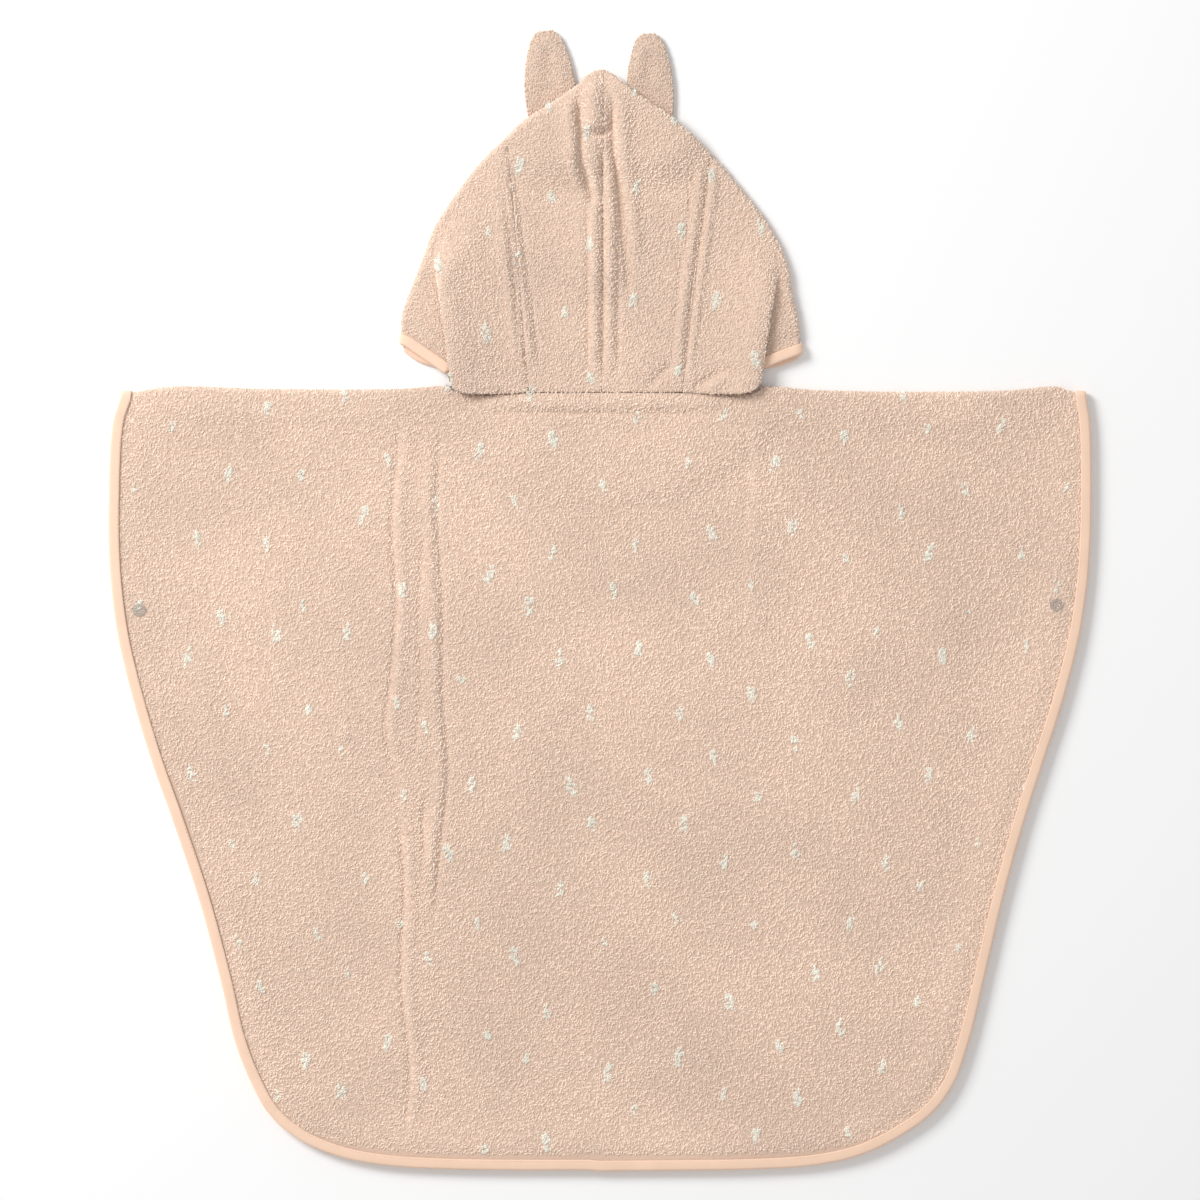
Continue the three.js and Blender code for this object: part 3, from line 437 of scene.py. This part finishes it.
# One terry loop is a stretched four-sided tent rooted in the cloth, of varied size
loopSizes = {"length": 1.4, "width": 0.62, "height": 1.05, "sink": -0.12}
grainFaces = np.array([(0, 2, 4), (2, 1, 4), (1, 3, 4), (3, 0, 4)])


# Grains at places, along directions, on normals, joined in one mesh with their own tints
def makeGrains(name, places, alongs, normals, sizes, tint, dash):
    count = len(places)
    sides = np.cross(normals, alongs)
    a, b, c = (sizes[:, k, None] for k in range(3))
    corners = np.stack([
        places + alongs * a, places - alongs * a, places + sides * b, places - sides * b,
        places + normals * c,
    ], 1)
    faces = (grainFaces[None] + 5 * np.arange(count)[:, None, None]).reshape(-1, 3)
    piece = makeObject(name, corners.reshape(-1, 3), faces, False)
    for label, values in (("tint", tint), ("dash", dash)):
        layer = piece.data.attributes.new(label, "FLOAT", "POINT")
        layer.data.foreach_set("value", np.repeat(values, 5).astype(np.float32))
    return piece


# Sows loops over a grid of outer points, as many to a cell as its area asks for; a shade below 1 lowers
# their tints as painted shade
def growLoops(name, outer, normal, spacing, keep=None, shade=1.0):
    corner = outer[:-1, :-1]
    area = np.linalg.norm(np.cross(outer[:-1, 1:] - corner, outer[1:, :-1] - corner), axis=-1)
    if keep is not None:
        area = area * keep
    number = np.floor(area / spacing ** 2 + randomness.random(area.shape)).astype(int)
    row, column = np.nonzero(number)
    many = number[row, column]
    row, column = np.repeat(row, many), np.repeat(column, many)
    order = np.concatenate([np.arange(k) for k in many]) / np.repeat(many, many)
    u = ((order + randomness.random(len(row)) * 0.7) % 1)[:, None]
    v = randomness.random((len(row), 1))
    low = blend(outer[row, column], outer[row, column + 1], u)
    high = blend(outer[row + 1, column], outer[row + 1, column + 1], u)
    up = normal[row, column]
    across = outer[row, column + 1] - outer[row, column]
    across /= np.linalg.norm(across, axis=1)[:, None]
    upward = np.cross(up, across)
    angle = randomness.normal(math.pi / 2, 0.8, len(row))
    along = across * np.cos(angle)[:, None] + upward * np.sin(angle)[:, None]
    lean = randomness.uniform(-0.12, 0.12, (len(row), 1))
    along = along + up * lean
    along /= np.linalg.norm(along, axis=1)[:, None]
    side = np.cross(up, along)
    up = np.cross(along, side / np.linalg.norm(side, axis=1)[:, None])
    places = blend(low, high, v) + up * loopSizes["sink"]
    scale = randomness.uniform(0.8, 1.2, (len(row), 3))
    sizes = scale * [loopSizes["length"], loopSizes["width"], loopSizes["height"]]
    dash = dashShare(places[:, 0], places[:, 1]) * (randomness.random(len(places)) > 0.1)
    # Woven dashes stand thicker, so their loops come with three neighbours each
    extra = np.repeat(np.nonzero(dash)[0], 3)
    shifts = randomness.uniform(-1.2, 1.2, (len(extra), 2))
    side = np.cross(up, along)
    moved = places[extra] + along[extra] * shifts[:, :1] + side[extra] * shifts[:, 1:] + up[extra] * 0.15
    places = np.concatenate([places, moved])
    along, up = np.concatenate([along, along[extra]]), np.concatenate([up, up[extra]])
    sizes, dash = np.concatenate([sizes, sizes[extra]]), np.concatenate([dash, dash[extra]])
    return makeGrains(name, places, along, up, sizes, randomness.random(len(places)) * shade, dash)


# Puts a constant on a node's named input
def setInput(node, name, value):
    node.inputs[name].default_value = value


# The terry effect: loops' tints, woven dashes, slow tone changes across the cloth, and a painted shade
# factor
def makeTerryGroup():
    group = bpy.data.node_groups.new("terryPile", "ShaderNodeTree")
    face = group.interface
    face.new_socket("Pile", in_out="INPUT", socket_type="NodeSocketColor")
    face.new_socket("Dash", in_out="INPUT", socket_type="NodeSocketColor")
    face.new_socket("Depth", in_out="INPUT", socket_type="NodeSocketFloat")
    face.new_socket("Color", in_out="OUTPUT", socket_type="NodeSocketColor")
    face.new_socket("Height", in_out="OUTPUT", socket_type="NodeSocketFloat")
    nodes, links = group.nodes, group.links
    given = nodes.new("NodeGroupInput")
    result = nodes.new("NodeGroupOutput")
    tint = nodes.new("ShaderNodeAttribute")
    tint.attribute_name = "tint"
    dash = nodes.new("ShaderNodeAttribute")
    dash.attribute_name = "dash"
    place = nodes.new("ShaderNodeTexCoord")
    slow = nodes.new("ShaderNodeTexNoise")
    setInput(slow, "Scale", 9)
    fine = nodes.new("ShaderNodeTexNoise")
    setInput(fine, "Scale", 520)
    spread = nodes.new("ShaderNodeMapRange")
    setInput(spread, "To Min", 0.80)
    setInput(spread, "To Max", 1.04)
    slowSpread = nodes.new("ShaderNodeMapRange")
    setInput(slowSpread, "From Min", 0.35)
    setInput(slowSpread, "From Max", 0.65)
    setInput(slowSpread, "To Min", 0.955)
    setInput(slowSpread, "To Max", 1.04)
    both = nodes.new("ShaderNodeMath")
    both.operation = "MULTIPLY"
    paintedShadeScale = nodes.new("ShaderNodeMath")
    paintedShadeScale.operation = "MULTIPLY"
    pick = nodes.new("ShaderNodeMix")
    pick.data_type = "RGBA"
    shade = nodes.new("ShaderNodeVectorMath")
    shade.operation = "SCALE"
    links.new(place.outputs["Object"], slow.inputs["Vector"])
    links.new(place.outputs["Object"], fine.inputs["Vector"])
    links.new(tint.outputs["Fac"], spread.inputs["Value"])
    links.new(slow.outputs["Fac"], slowSpread.inputs["Value"])
    links.new(spread.outputs["Result"], both.inputs[0])
    links.new(slowSpread.outputs["Result"], both.inputs[1])
    links.new(both.outputs[0], paintedShadeScale.inputs[0])
    links.new(given.outputs["Depth"], paintedShadeScale.inputs[1])
    links.new(dash.outputs["Fac"], pick.inputs["Factor"])
    links.new(given.outputs["Pile"], pick.inputs["A"])
    links.new(given.outputs["Dash"], pick.inputs["B"])
    links.new(pick.outputs["Result"], shade.inputs[0])
    links.new(paintedShadeScale.outputs[0], shade.inputs["Scale"])
    links.new(shade.outputs["Vector"], result.inputs["Color"])
    links.new(fine.outputs["Fac"], result.inputs["Height"])
    return group


# The binding's fine plain weave as waves along a diagonal, with faint slubs
def makeWeaveGroup():
    group = bpy.data.node_groups.new("bindingWeave", "ShaderNodeTree")
    face = group.interface
    face.new_socket("Cloth", in_out="INPUT", socket_type="NodeSocketColor")
    face.new_socket("Color", in_out="OUTPUT", socket_type="NodeSocketColor")
    face.new_socket("Height", in_out="OUTPUT", socket_type="NodeSocketFloat")
    nodes, links = group.nodes, group.links
    given = nodes.new("NodeGroupInput")
    result = nodes.new("NodeGroupOutput")
    place = nodes.new("ShaderNodeTexCoord")
    weft = nodes.new("ShaderNodeTexWave")
    setInput(weft, "Scale", 420)
    setInput(weft, "Distortion", 1.5)
    weft.bands_direction = "DIAGONAL"
    warp = nodes.new("ShaderNodeTexNoise")
    setInput(warp, "Scale", 60)
    tone = nodes.new("ShaderNodeMapRange")
    setInput(tone, "To Min", 0.93)
    setInput(tone, "To Max", 1.05)
    shade = nodes.new("ShaderNodeVectorMath")
    shade.operation = "SCALE"
    mixed = nodes.new("ShaderNodeMath")
    mixed.operation = "ADD"
    links.new(place.outputs["Object"], weft.inputs["Vector"])
    links.new(place.outputs["Object"], warp.inputs["Vector"])
    links.new(warp.outputs["Fac"], tone.inputs["Value"])
    links.new(given.outputs["Cloth"], shade.inputs[0])
    links.new(tone.outputs["Result"], shade.inputs["Scale"])
    links.new(shade.outputs["Vector"], result.inputs["Color"])
    links.new(weft.outputs["Fac"], mixed.inputs[0])
    links.new(warp.outputs["Fac"], mixed.inputs[1])
    links.new(mixed.outputs[0], result.inputs["Height"])
    return group


# A cloth material around one of the two groups; depth is the terry's painted shade factor
def makeClothMaterial(name, group, colours, roughness, bump, sheen, depth=None):
    material = bpy.data.materials.new(name)
    material.use_nodes = True
    nodes, links = material.node_tree.nodes, material.node_tree.links
    shader = nodes["Principled BSDF"]
    effect = nodes.new("ShaderNodeGroup")
    effect.node_tree = group
    for label, colour in colours.items():
        setInput(effect, label, (*colour, 1))
    if depth is not None:
        setInput(effect, "Depth", depth)
    relief = nodes.new("ShaderNodeBump")
    setInput(relief, "Strength", bump)
    setInput(relief, "Distance", 0.0006)
    setInput(shader, "Roughness", roughness)
    setInput(shader, "Sheen Weight", sheen)
    setInput(shader, "Specular IOR Level", 0.15)
    links.new(effect.outputs["Color"], shader.inputs["Base Color"])
    links.new(effect.outputs["Height"], relief.inputs["Height"])
    links.new(relief.outputs["Normal"], shader.inputs["Normal"])
    return material


# The ground colour is darker than the pile as painted shade in the crevices between the loops
palette = {
    "pile": (0.99, 0.83, 0.71), "ground": (0.87, 0.64, 0.50), "dash": (0.98, 0.95, 0.86),
    "binding": (0.93, 0.66, 0.50),
    "thread": (0.93, 0.66, 0.50),
}
terryGroup = makeTerryGroup()
weaveGroup = makeWeaveGroup()
pileColours = {"Pile": palette["pile"], "Dash": palette["dash"]}
# One terry in three copies, lightened or darkened as painted light and shade: the body's a touch lighter,
# the hood's darker, the ears' darker still
terryLoops = makeClothMaterial("terryLoops", terryGroup, pileColours, 0.9, 0.2, 0.2, 1.01)
hoodTerryPaintedShade = makeClothMaterial("hoodTerryPaintedShade", terryGroup, pileColours, 0.9, 0.2, 0.2, 0.96)
earTerryPaintedShade = makeClothMaterial("earTerryPaintedShade", terryGroup, pileColours, 0.9, 0.2, 0.2, 0.87)
# The cloth shells take the ground colour: painted shade under and between the loops
groundPaintedShadeColours = {"Pile": palette["ground"], "Dash": palette["dash"]}
terryGroundPaintedShade = makeClothMaterial("terryGroundPaintedShade", terryGroup, groundPaintedShadeColours, 0.95, 0.8, 0.1, 1.0)
bindingCloth = makeClothMaterial("bindingCloth", weaveGroup, {"Cloth": palette["binding"]}, 0.8, 0.25, 0.15)
threadCloth = makeClothMaterial("threadCloth", weaveGroup, {"Cloth": palette["thread"]}, 0.7, 0.1, 0.1)


# Gives a piece its material
def dress(piece, material):
    piece.data.materials.append(material)


print("materials made")

# Body: one piece folded at the shoulders, laid flat with its back up.
body = {"backRows": 122, "frontRows": 36, "turnSteps": 7, "loopSpacing": 1.7, "loopBands": 4}
columnPlaces = np.unique(np.round(np.concatenate([
    np.linspace(-368, -200, 30), np.linspace(-196, -116, 56), np.linspace(-112, 121, 62),
    np.linspace(125, 368, 38), [-366, -362, 362, 366],
]), 3))
turnAngles = np.linspace(0, math.pi, body["turnSteps"] + 2)[1:-1]


# Adds heights to flat points
def raised(point, height):
    return np.concatenate([point, height[..., None]], -1)


# Shoulder turn: a half circle from the back layer over to the front one
def bodyTurn(angle):
    top = topPoint(columnPlaces, "back")
    high = backHeight(top[:, 0], top[:, 1])
    low = np.full(high.shape, cloth["frontLevel"])
    radius = (high - low) / 2
    point = top + np.stack([0 * radius, radius * math.sin(angle)], -1)
    return raised(point, (high + low) / 2 + radius * math.cos(angle))


# A flat layer of the body: its patch over columns and shares, at the height given there
def bodyLayer(shares, layer, heightAt):
    place, share = np.meshgrid(columnPlaces, shares)
    point = patchPoint(place, share, layer)
    return raised(point, heightAt(point[..., 0], point[..., 1]))


bodyGrid = np.concatenate([
    bodyLayer(np.linspace(0, 1, body["backRows"]), "back", backHeight),
    np.stack([bodyTurn(angle) for angle in turnAngles]),
    bodyLayer(np.linspace(1, 0, body["frontRows"]), "front", frontHeight),
])
# The opening for the head: the turn rows between the two ends of the neck
turnRows = np.arange(len(bodyGrid) - 1)
inTurn = (turnRows >= body["backRows"] - 1) & (turnRows < body["backRows"] + body["turnSteps"])
columnMiddles = (columnPlaces[:-1] + columnPlaces[1:]) / 2
inNeckColumns = (columnMiddles > neck["left"] - 0.5) & (columnMiddles < neck["right"] + 0.5)
bodyKeep = ~(inTurn[:, None] & inNeckColumns[None])
# The cloth is thin where the binding holds it and at the neck's edge
bodyRim = nearestOn(clothEdge[::4], bodyGrid[..., 0], bodyGrid[..., 1])[0]
onFront = np.arange(len(bodyGrid)) > body["backRows"] + body["turnSteps"] / 2
scoopRim = np.where(onFront[:, None], nearestOn(scoop, bodyGrid[..., 0], bodyGrid[..., 1])[0], 99)


# Half the cloth's thickness: thin at its bound rim, rising smoothly to full inside it
def halfThickness(rim):
    return blend(cloth["boundThickness"], cloth["thickness"], fullShare(rim)) / 2


bodyHalf = halfThickness(np.minimum(bodyRim, scoopRim))
outerHalf = bodyHalf - cloth["pileDepth"] * ~onFront[:, None] * smoothStep(bodyRim, 6, 9)
bodyPiece, bodyOuter, bodyNormal = makeShell("bodyCloth", bodyGrid, outerHalf, bodyHalf, bodyKeep)
dress(bodyPiece, terryGroundPaintedShade)
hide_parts("body")

# The back's terry loops in bands of rows, up over the shoulders' fold
bandEnds = np.linspace(0, body["backRows"] + 3, body["loopBands"] + 1).astype(int)
underHood = (bodyGrid[..., 1] > 168) & (np.abs(bodyGrid[..., 0]) < 90)
for band, (first, last) in enumerate(zip(bandEnds[:-1], bandEnds[1:])):
    rows = slice(first, last + 1)
    keep = bodyKeep[first:last] & (bodyRim[first:last, :-1] > 5.0) & ~underHood[first:last, :-1]
    loops = growLoops(f"bodyLoops{band + 1}", bodyOuter[rows], bodyNormal[rows], body["loopSpacing"], keep)
    dress(loops, terryLoops)

# Hood: four panels on ribs from the neck up the back, over the arch and down to the brow.
hood = {"backRows": 76, "underRows": 22, "sideColumns": 66, "centreColumns": 34, "loopSpacing": 1.6}
# Neighbouring panels meet in their seams
seamRibs = {
    ("hood_side_left", -1): (.3268, -53.45, 155.6, .2), ("hood_centre_left", 0): (.3272, -53.1, 155.6, .2),
    ("hood_centre_left", -1): (.4973, 1.1, 155.5, 0), ("hood_centre_right", 0): (.4977, 1.45, 155.5, 0),
    ("hood_centre_right", -1): (.6918, 61.5, 155.6, .2), ("hood_side_right", 0): (.6922, 61.85, 155.6, .2),
}
firstRib = np.array(hoodRibs["hood_side_left"][0])
lastRib = np.array(hoodRibs["hood_side_right"][-1])
cheekLines = [np.array([alongPath(archTurn, np.array(rib[0]))[0], rib[1:3]]) for rib in (firstRib, lastRib)]


# Distance to the nearer of the two straight cheek edges
def cheekDistance(x, y):
    return np.minimum(*(nearestOn(line, x, y)[0] for line in cheekLines))


# Hood's turn: a half circle from the back's edge to the under layer's, outward of the arch
def hoodTurnPoint(rib, angle):
    high = hoodBackPoint(rib, np.zeros(len(rib)))
    low = hoodUnderPoint(rib, np.zeros(len(rib)))
    direction = alongPath(archTurn, rib[:, 0])[1]
    outward = np.stack([-direction[:, 1], direction[:, 0]], -1)
    radius = (high[:, 2] - low[:, 2]) / 2
    point = high[:, :2] + outward * (radius * math.sin(angle))[:, None]
    return raised(point, (high[:, 2] + low[:, 2]) / 2 + radius * math.cos(angle))


hoodLoops = {}
for panel, ribRows in hoodRibs.items():
    ribRows = [seamRibs.get((panel, k - len(ribRows) if k else 0), rib) for k, rib in enumerate(ribRows)]
    side = "side" in panel
    ribs = splineThrough(ribRows, hood["sideColumns"] if side else hood["centreColumns"])
    fractions = np.linspace(1, 0, hood["backRows"])
    backGrid = np.stack([hoodBackPoint(ribs, np.full(len(ribs), f)) for f in fractions])
    turnGrid = np.stack([hoodTurnPoint(ribs, angle) for angle in turnAngles])
    unders = np.linspace(0, 1, hood["underRows"])
    underGrid = np.stack([hoodUnderPoint(ribs, np.full(len(ribs), f)) for f in unders])
    grid = np.concatenate([backGrid, turnGrid, underGrid])
    rim = cheekDistance(grid[..., 0], grid[..., 1])
    backCount = len(backGrid)
    rim[:backCount] = np.where(ribs[:, 3] > 1, 16, rim[:backCount])
    underFrom = backCount + len(turnGrid)
    browRim = nearestOn(browEdge[::4], grid[underFrom:, :, 0], grid[underFrom:, :, 1])[0]
    rim[underFrom:] = np.minimum(rim[underFrom:], browRim)
    half = halfThickness(rim)
    recess = cloth["pileDepth"] * smoothStep(rim, 6, 9)
    recess[backCount + 4:] = 0
    piece, outer, normal = makeShell(panel + "Cloth", grid, half - recess, half)
    dress(piece, terryGroundPaintedShade)
    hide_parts(panel)
    keep = rim[:backCount + 3, :-1] > 6.0
    rows = slice(0, backCount + 4)
    loops = growLoops(panel + "Loops", outer[rows], normal[rows], hood["loopSpacing"], keep)
    dress(loops, hoodTerryPaintedShade)
    hoodLoops[panel] = (piece, loops)
print("hood made")

# Ears: two pieces each, flat leaves whose half width follows a table from the tip.
earTable = splineThrough(earWidths, 60)
earPieces = {}
for earName, ear in ears.items():
    base, tip = np.array(ear["base"], float), np.array(ear["tip"], float)
    length = np.linalg.norm(tip - base)
    along = (tip - base) / length
    across = np.array([along[1], -along[0]])
    fromTip, place = np.meshgrid(np.linspace(length, 0.2, 40), np.linspace(-1, 1, 25), indexing="ij")
    halfWidth = np.interp(fromTip, earTable[:, 0], earTable[:, 1]) * ear["share"]
    flat = tip - along * fromTip[..., None] + across * (place * halfWidth)[..., None]
    clear = smoothStep(length - fromTip, 26, 44) * smoothStep(fromTip, 0, 16)
    rounded = 1 - 0.35 * np.abs(place) ** 6
    for layer in ("front", "back"):
        bottom = earSizes["wall"] / 2
        if layer == "back":
            hollow = 2.1 * np.exp(-(place / 0.36) ** 2) * smoothStep(fromTip, 6, 22)
            bottom = bottom + 2.3 + clear * (earSizes["puff"] * (1 - place ** 2) - hollow)
        grid = raised(flat, bottom + 0 * place)
        half = rounded * earSizes["wall"] / 2
        recess = cloth["pileDepth"] if layer == "back" else 0
        nodeName = f"{earName}_{layer}"
        piece, outer, normal = makeShell(nodeName + "Cloth", grid, half - recess * rounded, half)
        dress(piece, terryGroundPaintedShade)
        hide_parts(nodeName)
        earPieces[nodeName] = [piece]
        if layer == "back":
            # The ears' loops have lower tints and a darker material: painted shade
            loops = growLoops(nodeName + "Loops", outer, normal, hood["loopSpacing"], None, 0.7)
            dress(loops, earTerryPaintedShade)
            earPieces[nodeName].append(loops)
print("ears made")

# Bindings: a folded strip carried along its edge, a smooth C in section.
binding = {"stitchStep": 2.9, "stitchLength": 1.1, "joinX": -4.1, "joinStep": 0.9}
reach = cloth["boundThickness"] / 2 + 0.3
topRise = reach + cloth["bindingWall"]
foldAngles = np.linspace(math.pi / 2, -math.pi / 2, 9)
bindingSection = np.array([
    (8, topRise - 0.1), (7.2, topRise), (5, topRise + 0.12), (3, topRise + 0.05),
    *[(1.7 - 1.7 * math.cos(angle), topRise * math.sin(angle)) for angle in foldAngles],
    (3, -topRise), (8, -topRise), (8, -reach), (1, -reach), (1, reach), (8, reach),
])


# Stations along a flat path with the cloth on its left
def edgeStations(path, z, up):
    along = np.gradient(path, axis=0)
    along /= np.linalg.norm(along, axis=1)[:, None]
    inward = np.stack([-along[:, 1], along[:, 0], 0 * along[:, 0]], -1)
    point = raised(path, np.broadcast_to(z, len(path)))
    return np.stack([point, inward, np.tile([0, 0, up], (len(path), 1))], 1)


# Stations over a turn of the cloth, from its upper to its lower layer
def turnStations(point, outward, inward, high, low):
    outward, inward = np.append(outward, 0.0), np.append(inward, 0.0)
    stations = []
    for angle in turnAngles:
        normal = outward * math.sin(angle) + np.array([0, 0, math.cos(angle)])
        middle = np.array([point[0], point[1], (high + low) / 2]) + normal * (high - low) / 2
        stations.append([middle, inward, normal])
    return np.array(stations)


# Each station's section: its point plus depth times inward plus rise times normal
def carryBinding(name, stations, closed):
    point, inward, normal = stations[:, 0], stations[:, 1], stations[:, 2]
    count, size = len(stations), len(bindingSection)
    wave = randomness.normal(0, 1, count + 8)
    wave = np.convolve(wave, np.ones(9) / 9, "valid")
    depth = bindingSection[:, 0][None, :, None]
    rise = bindingSection[:, 1][None, :, None]
    upper = normal[:, None, 2:] * rise > 0
    rise = rise * (1 + 0.1 * wave[:count, None, None] * (depth > 0.5) * upper)
    points = point[:, None] + inward[:, None] * depth + normal[:, None] * rise
    here = np.arange(count if closed else count - 1)[:, None] * size
    after = (here + size) % (count * size)
    k = np.arange(size)[None]
    l = (k + 1) % size
    faces = np.stack([here + k, here + l, after + l, after + k], -1).reshape(-1, 4).tolist()
    if not closed:
        faces += [list(range(size))[::-1], [(count - 1) * size + i for i in range(size)]]
    mesh = bpy.data.meshes.new(name)
    mesh.from_pydata((points.reshape(-1, 3) * mm).tolist(), [], faces)
    mesh.polygons.foreach_set("use_smooth", [True] * len(mesh.polygons))
    mesh.update()
    piece = bpy.data.objects.new(name, mesh)
    bpy.context.scene.collection.objects.link(piece)
    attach(piece, "root")
    dress(piece, bindingCloth)
    return piece


# A row of stitches near a binding's inner edge: small sunk stretches of thread
def sewStitches(name, stations, depth, lift):
    line = stations[:, 0] + stations[:, 1] * depth + stations[:, 2] * lift
    steps = np.linalg.norm(np.diff(line, axis=0), axis=1)
    lengths = np.r_[0, np.cumsum(steps)]
    at = np.arange(2, lengths[-1] - 2, binding["stitchStep"])
    places = np.stack([np.interp(at, lengths, line[:, k]) for k in range(3)], -1)
    k = np.clip(np.searchsorted(lengths, at) - 1, 0, len(steps) - 1)
    along = (line[k + 1] - line[k]) / steps[k][:, None]
    up = stations[k, 2] - along * np.sum(stations[k, 2] * along, 1, keepdims=True)
    up /= np.linalg.norm(up, axis=1)[:, None]
    sizes = np.tile([binding["stitchLength"], 0.3, 0.28], (len(at), 1))
    piece = makeGrains(name, places, along, up, sizes, np.full(len(at), 0.5), np.zeros(len(at)))
    dress(piece, threadCloth)
    return piece


# Body binding: round the back, over the left shoulder corner, round the front and back up
backEdge = edgeStations(outline, cloth["backEdgeLevel"], 1)
frontEdge = edgeStations(outline, cloth["frontEdgeLevel"], -1)
# Where the strip is joined to itself at the hem, its right end laps a little lower
joined = np.abs(backEdge[:, 0, 1] + 427) < 30
past = backEdge[:, 0, 0] - binding["joinX"]
backEdge[:, 0, 1] -= joined * (past > 0) * binding["joinStep"] * np.exp(-np.abs(past) / 60)
leftTurn = turnStations(outline[0], [0, 1], [1, 0], cloth["backEdgeLevel"], cloth["frontEdgeLevel"])
rightTurn = turnStations(outline[-1], [0, 1], [-1, 0], cloth["backEdgeLevel"], cloth["frontEdgeLevel"])
bodyStations = np.concatenate([backEdge[::-1], leftTurn, frontEdge, rightTurn[::-1]])
bodyBinding = carryBinding("bodyBinding", bodyStations, True)
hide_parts("body_binding")
bodyStitches = sewStitches("bodyBindingStitches", backEdge, 6.9, topRise + 0.02)

# Neck binding: along the front's scoop
neckEdge = offsetPath(splineThrough(scoop[1:-1][::-1], 90), -cloth["edgeInset"])
neckStations = edgeStations(neckEdge, cloth["frontEdgeLevel"], -1)
neckBinding = carryBinding("neckBinding", neckStations, False)
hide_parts("neck_binding")

# Hood binding: up one cheek, over its corner, along the brow and back down the other
hoodInset = cloth["edgeInset"] + 1.1


# Stations up one cheek along its rib, then over the corner to the brow's height
def cheekStations(rib, side):
    start = rib[1:3]
    end = alongPath(archTurn, rib[0])[0]
    direction = alongPath(archTurn, rib[0])[1]
    outward = np.array([-direction[1], direction[0]])
    along = (end - start) / np.linalg.norm(end - start)
    inward = np.array([along[1], -along[0]]) * side
    shares = np.linspace(0.1, 0.93, 16)
    path = blend(start, end, shares[:, None]) - inward * hoodInset
    height = hoodBackPoint(np.tile(rib, (16, 1)), 1 - shares)[:, 2]
    up = np.tile([0.0, 0, 1], (16, 1))
    straight = np.stack([raised(path, height), np.tile([*inward, 0], (16, 1)), up], 1)
    turnInward = np.array([-outward[1], outward[0]]) * -side
    corner = end - turnInward * hoodInset
    turn = turnStations(corner, outward, turnInward, cloth["backEdgeLevel"], cloth["frontEdgeLevel"])
    return np.concatenate([straight, turn])


leftCheek, rightCheek = cheekStations(firstRib, 1), cheekStations(lastRib, -1)
browOuter = offsetPath(brow, -hoodInset)[2:-2]
browStations = edgeStations(browOuter, cloth["frontEdgeLevel"], -1)
hoodStations = np.concatenate([leftCheek, browStations, rightCheek[::-1]])
hoodBinding = carryBinding("hoodBinding", hoodStations, False)
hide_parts("hood_binding")
hoodStitches = [
    sewStitches(f"hoodStitches{side}", cheek[:16], 6.9, topRise + 0.02)
    for side, cheek in (("Left", leftCheek), ("Right", rightCheek))
]
print("bindings made")

# Snaps: the modelled caps stay, in clear moulded plastic that shows the cloth through it.
snap = {"color": (0.46, 0.43, 0.39, 1), "roughness": 0.28, "coat": 0.5, "alpha": 0.5}
snapPlastic = bpy.data.materials.new("snapPlastic")
snapPlastic.use_nodes = True
snapShader = snapPlastic.node_tree.nodes["Principled BSDF"]
setInput(snapShader, "Base Color", snap["color"])
setInput(snapShader, "Roughness", snap["roughness"])
setInput(snapShader, "Coat Weight", snap["coat"])
setInput(snapShader, "Alpha", snap["alpha"])
for snapNode in ("snap_left_back", "snap_left_front", "snap_right_back", "snap_right_front"):
    bpy.data.objects[snapNode].material_slots[0].material = snapPlastic

# The cut of each piece of cloth, in metres
cuts = {
    "hood_side_left": (0.150, 0.240, 0.023), "hood_centre_left": (0.135, 0.400, 0.034),
    "hood_centre_right": (0.165, 0.400, 0.040), "hood_side_right": (0.150, 0.240, 0.023),
}
for panel, (piece, loops) in hoodLoops.items():
    width, length, area = cuts[panel]

# Pale floor, soft light from the upper left, and a camera that looks straight down
ground = {"span": 6.0, "color": (0.95, 0.95, 0.95, 1), "roughness": 0.9}
span = ground["span"]
floorMesh = bpy.data.meshes.new("floor")
floorCorners = [(-span, -span, 0), (span, -span, 0), (span, span, 0), (-span, span, 0)]
floorMesh.from_pydata(floorCorners, [], [(0, 1, 2, 3)])
floor = bpy.data.objects.new("floor", floorMesh)
bpy.context.scene.collection.objects.link(floor)
floorMaterial = bpy.data.materials.new("floor")
floorMaterial.use_nodes = True
floorShader = floorMaterial.node_tree.nodes["Principled BSDF"]
setInput(floorShader, "Base Color", ground["color"])
setInput(floorShader, "Roughness", ground["roughness"])
floorMesh.materials.append(floorMaterial)

light = {"sky": 0.60, "key": 96, "keyPlace": (-2.2, 1.7, 2.0), "keySize": 1.3}
sky = bpy.data.worlds.new("sky")
sky.use_nodes = True
background = sky.node_tree.nodes["Background"]
setInput(background, "Color", (1, 1, 1, 1))
setInput(background, "Strength", light["sky"])
bpy.context.scene.world = sky
lamp = bpy.data.lights.new("key", "AREA")
lamp.energy = light["key"]
lamp.size = light["keySize"]
lampObject = bpy.data.objects.new("key", lamp)
lampObject.location = light["keyPlace"]
toCentre = -np.array(light["keyPlace"])
lampObject.rotation_euler = (
    math.atan2(math.hypot(toCentre[0], toCentre[1]), -toCentre[2]), 0,
    math.atan2(toCentre[1], toCentre[0]) - math.pi / 2,
)
bpy.context.scene.collection.objects.link(lampObject)

cameraData = bpy.data.cameras.new("camera")
view = {"sensor": 36, "lens": 160, "height": 4.0}  # shows 900 mm across, from straight above
cameraData.sensor_width = view["sensor"]
cameraData.lens = view["lens"]
camera = bpy.data.objects.new("camera", cameraData)
camera.location = (0, 0, view["height"])
bpy.context.scene.collection.objects.link(camera)
bpy.context.scene.camera = camera
bpy.context.scene.view_settings.view_transform = "Standard"
print("stage made")
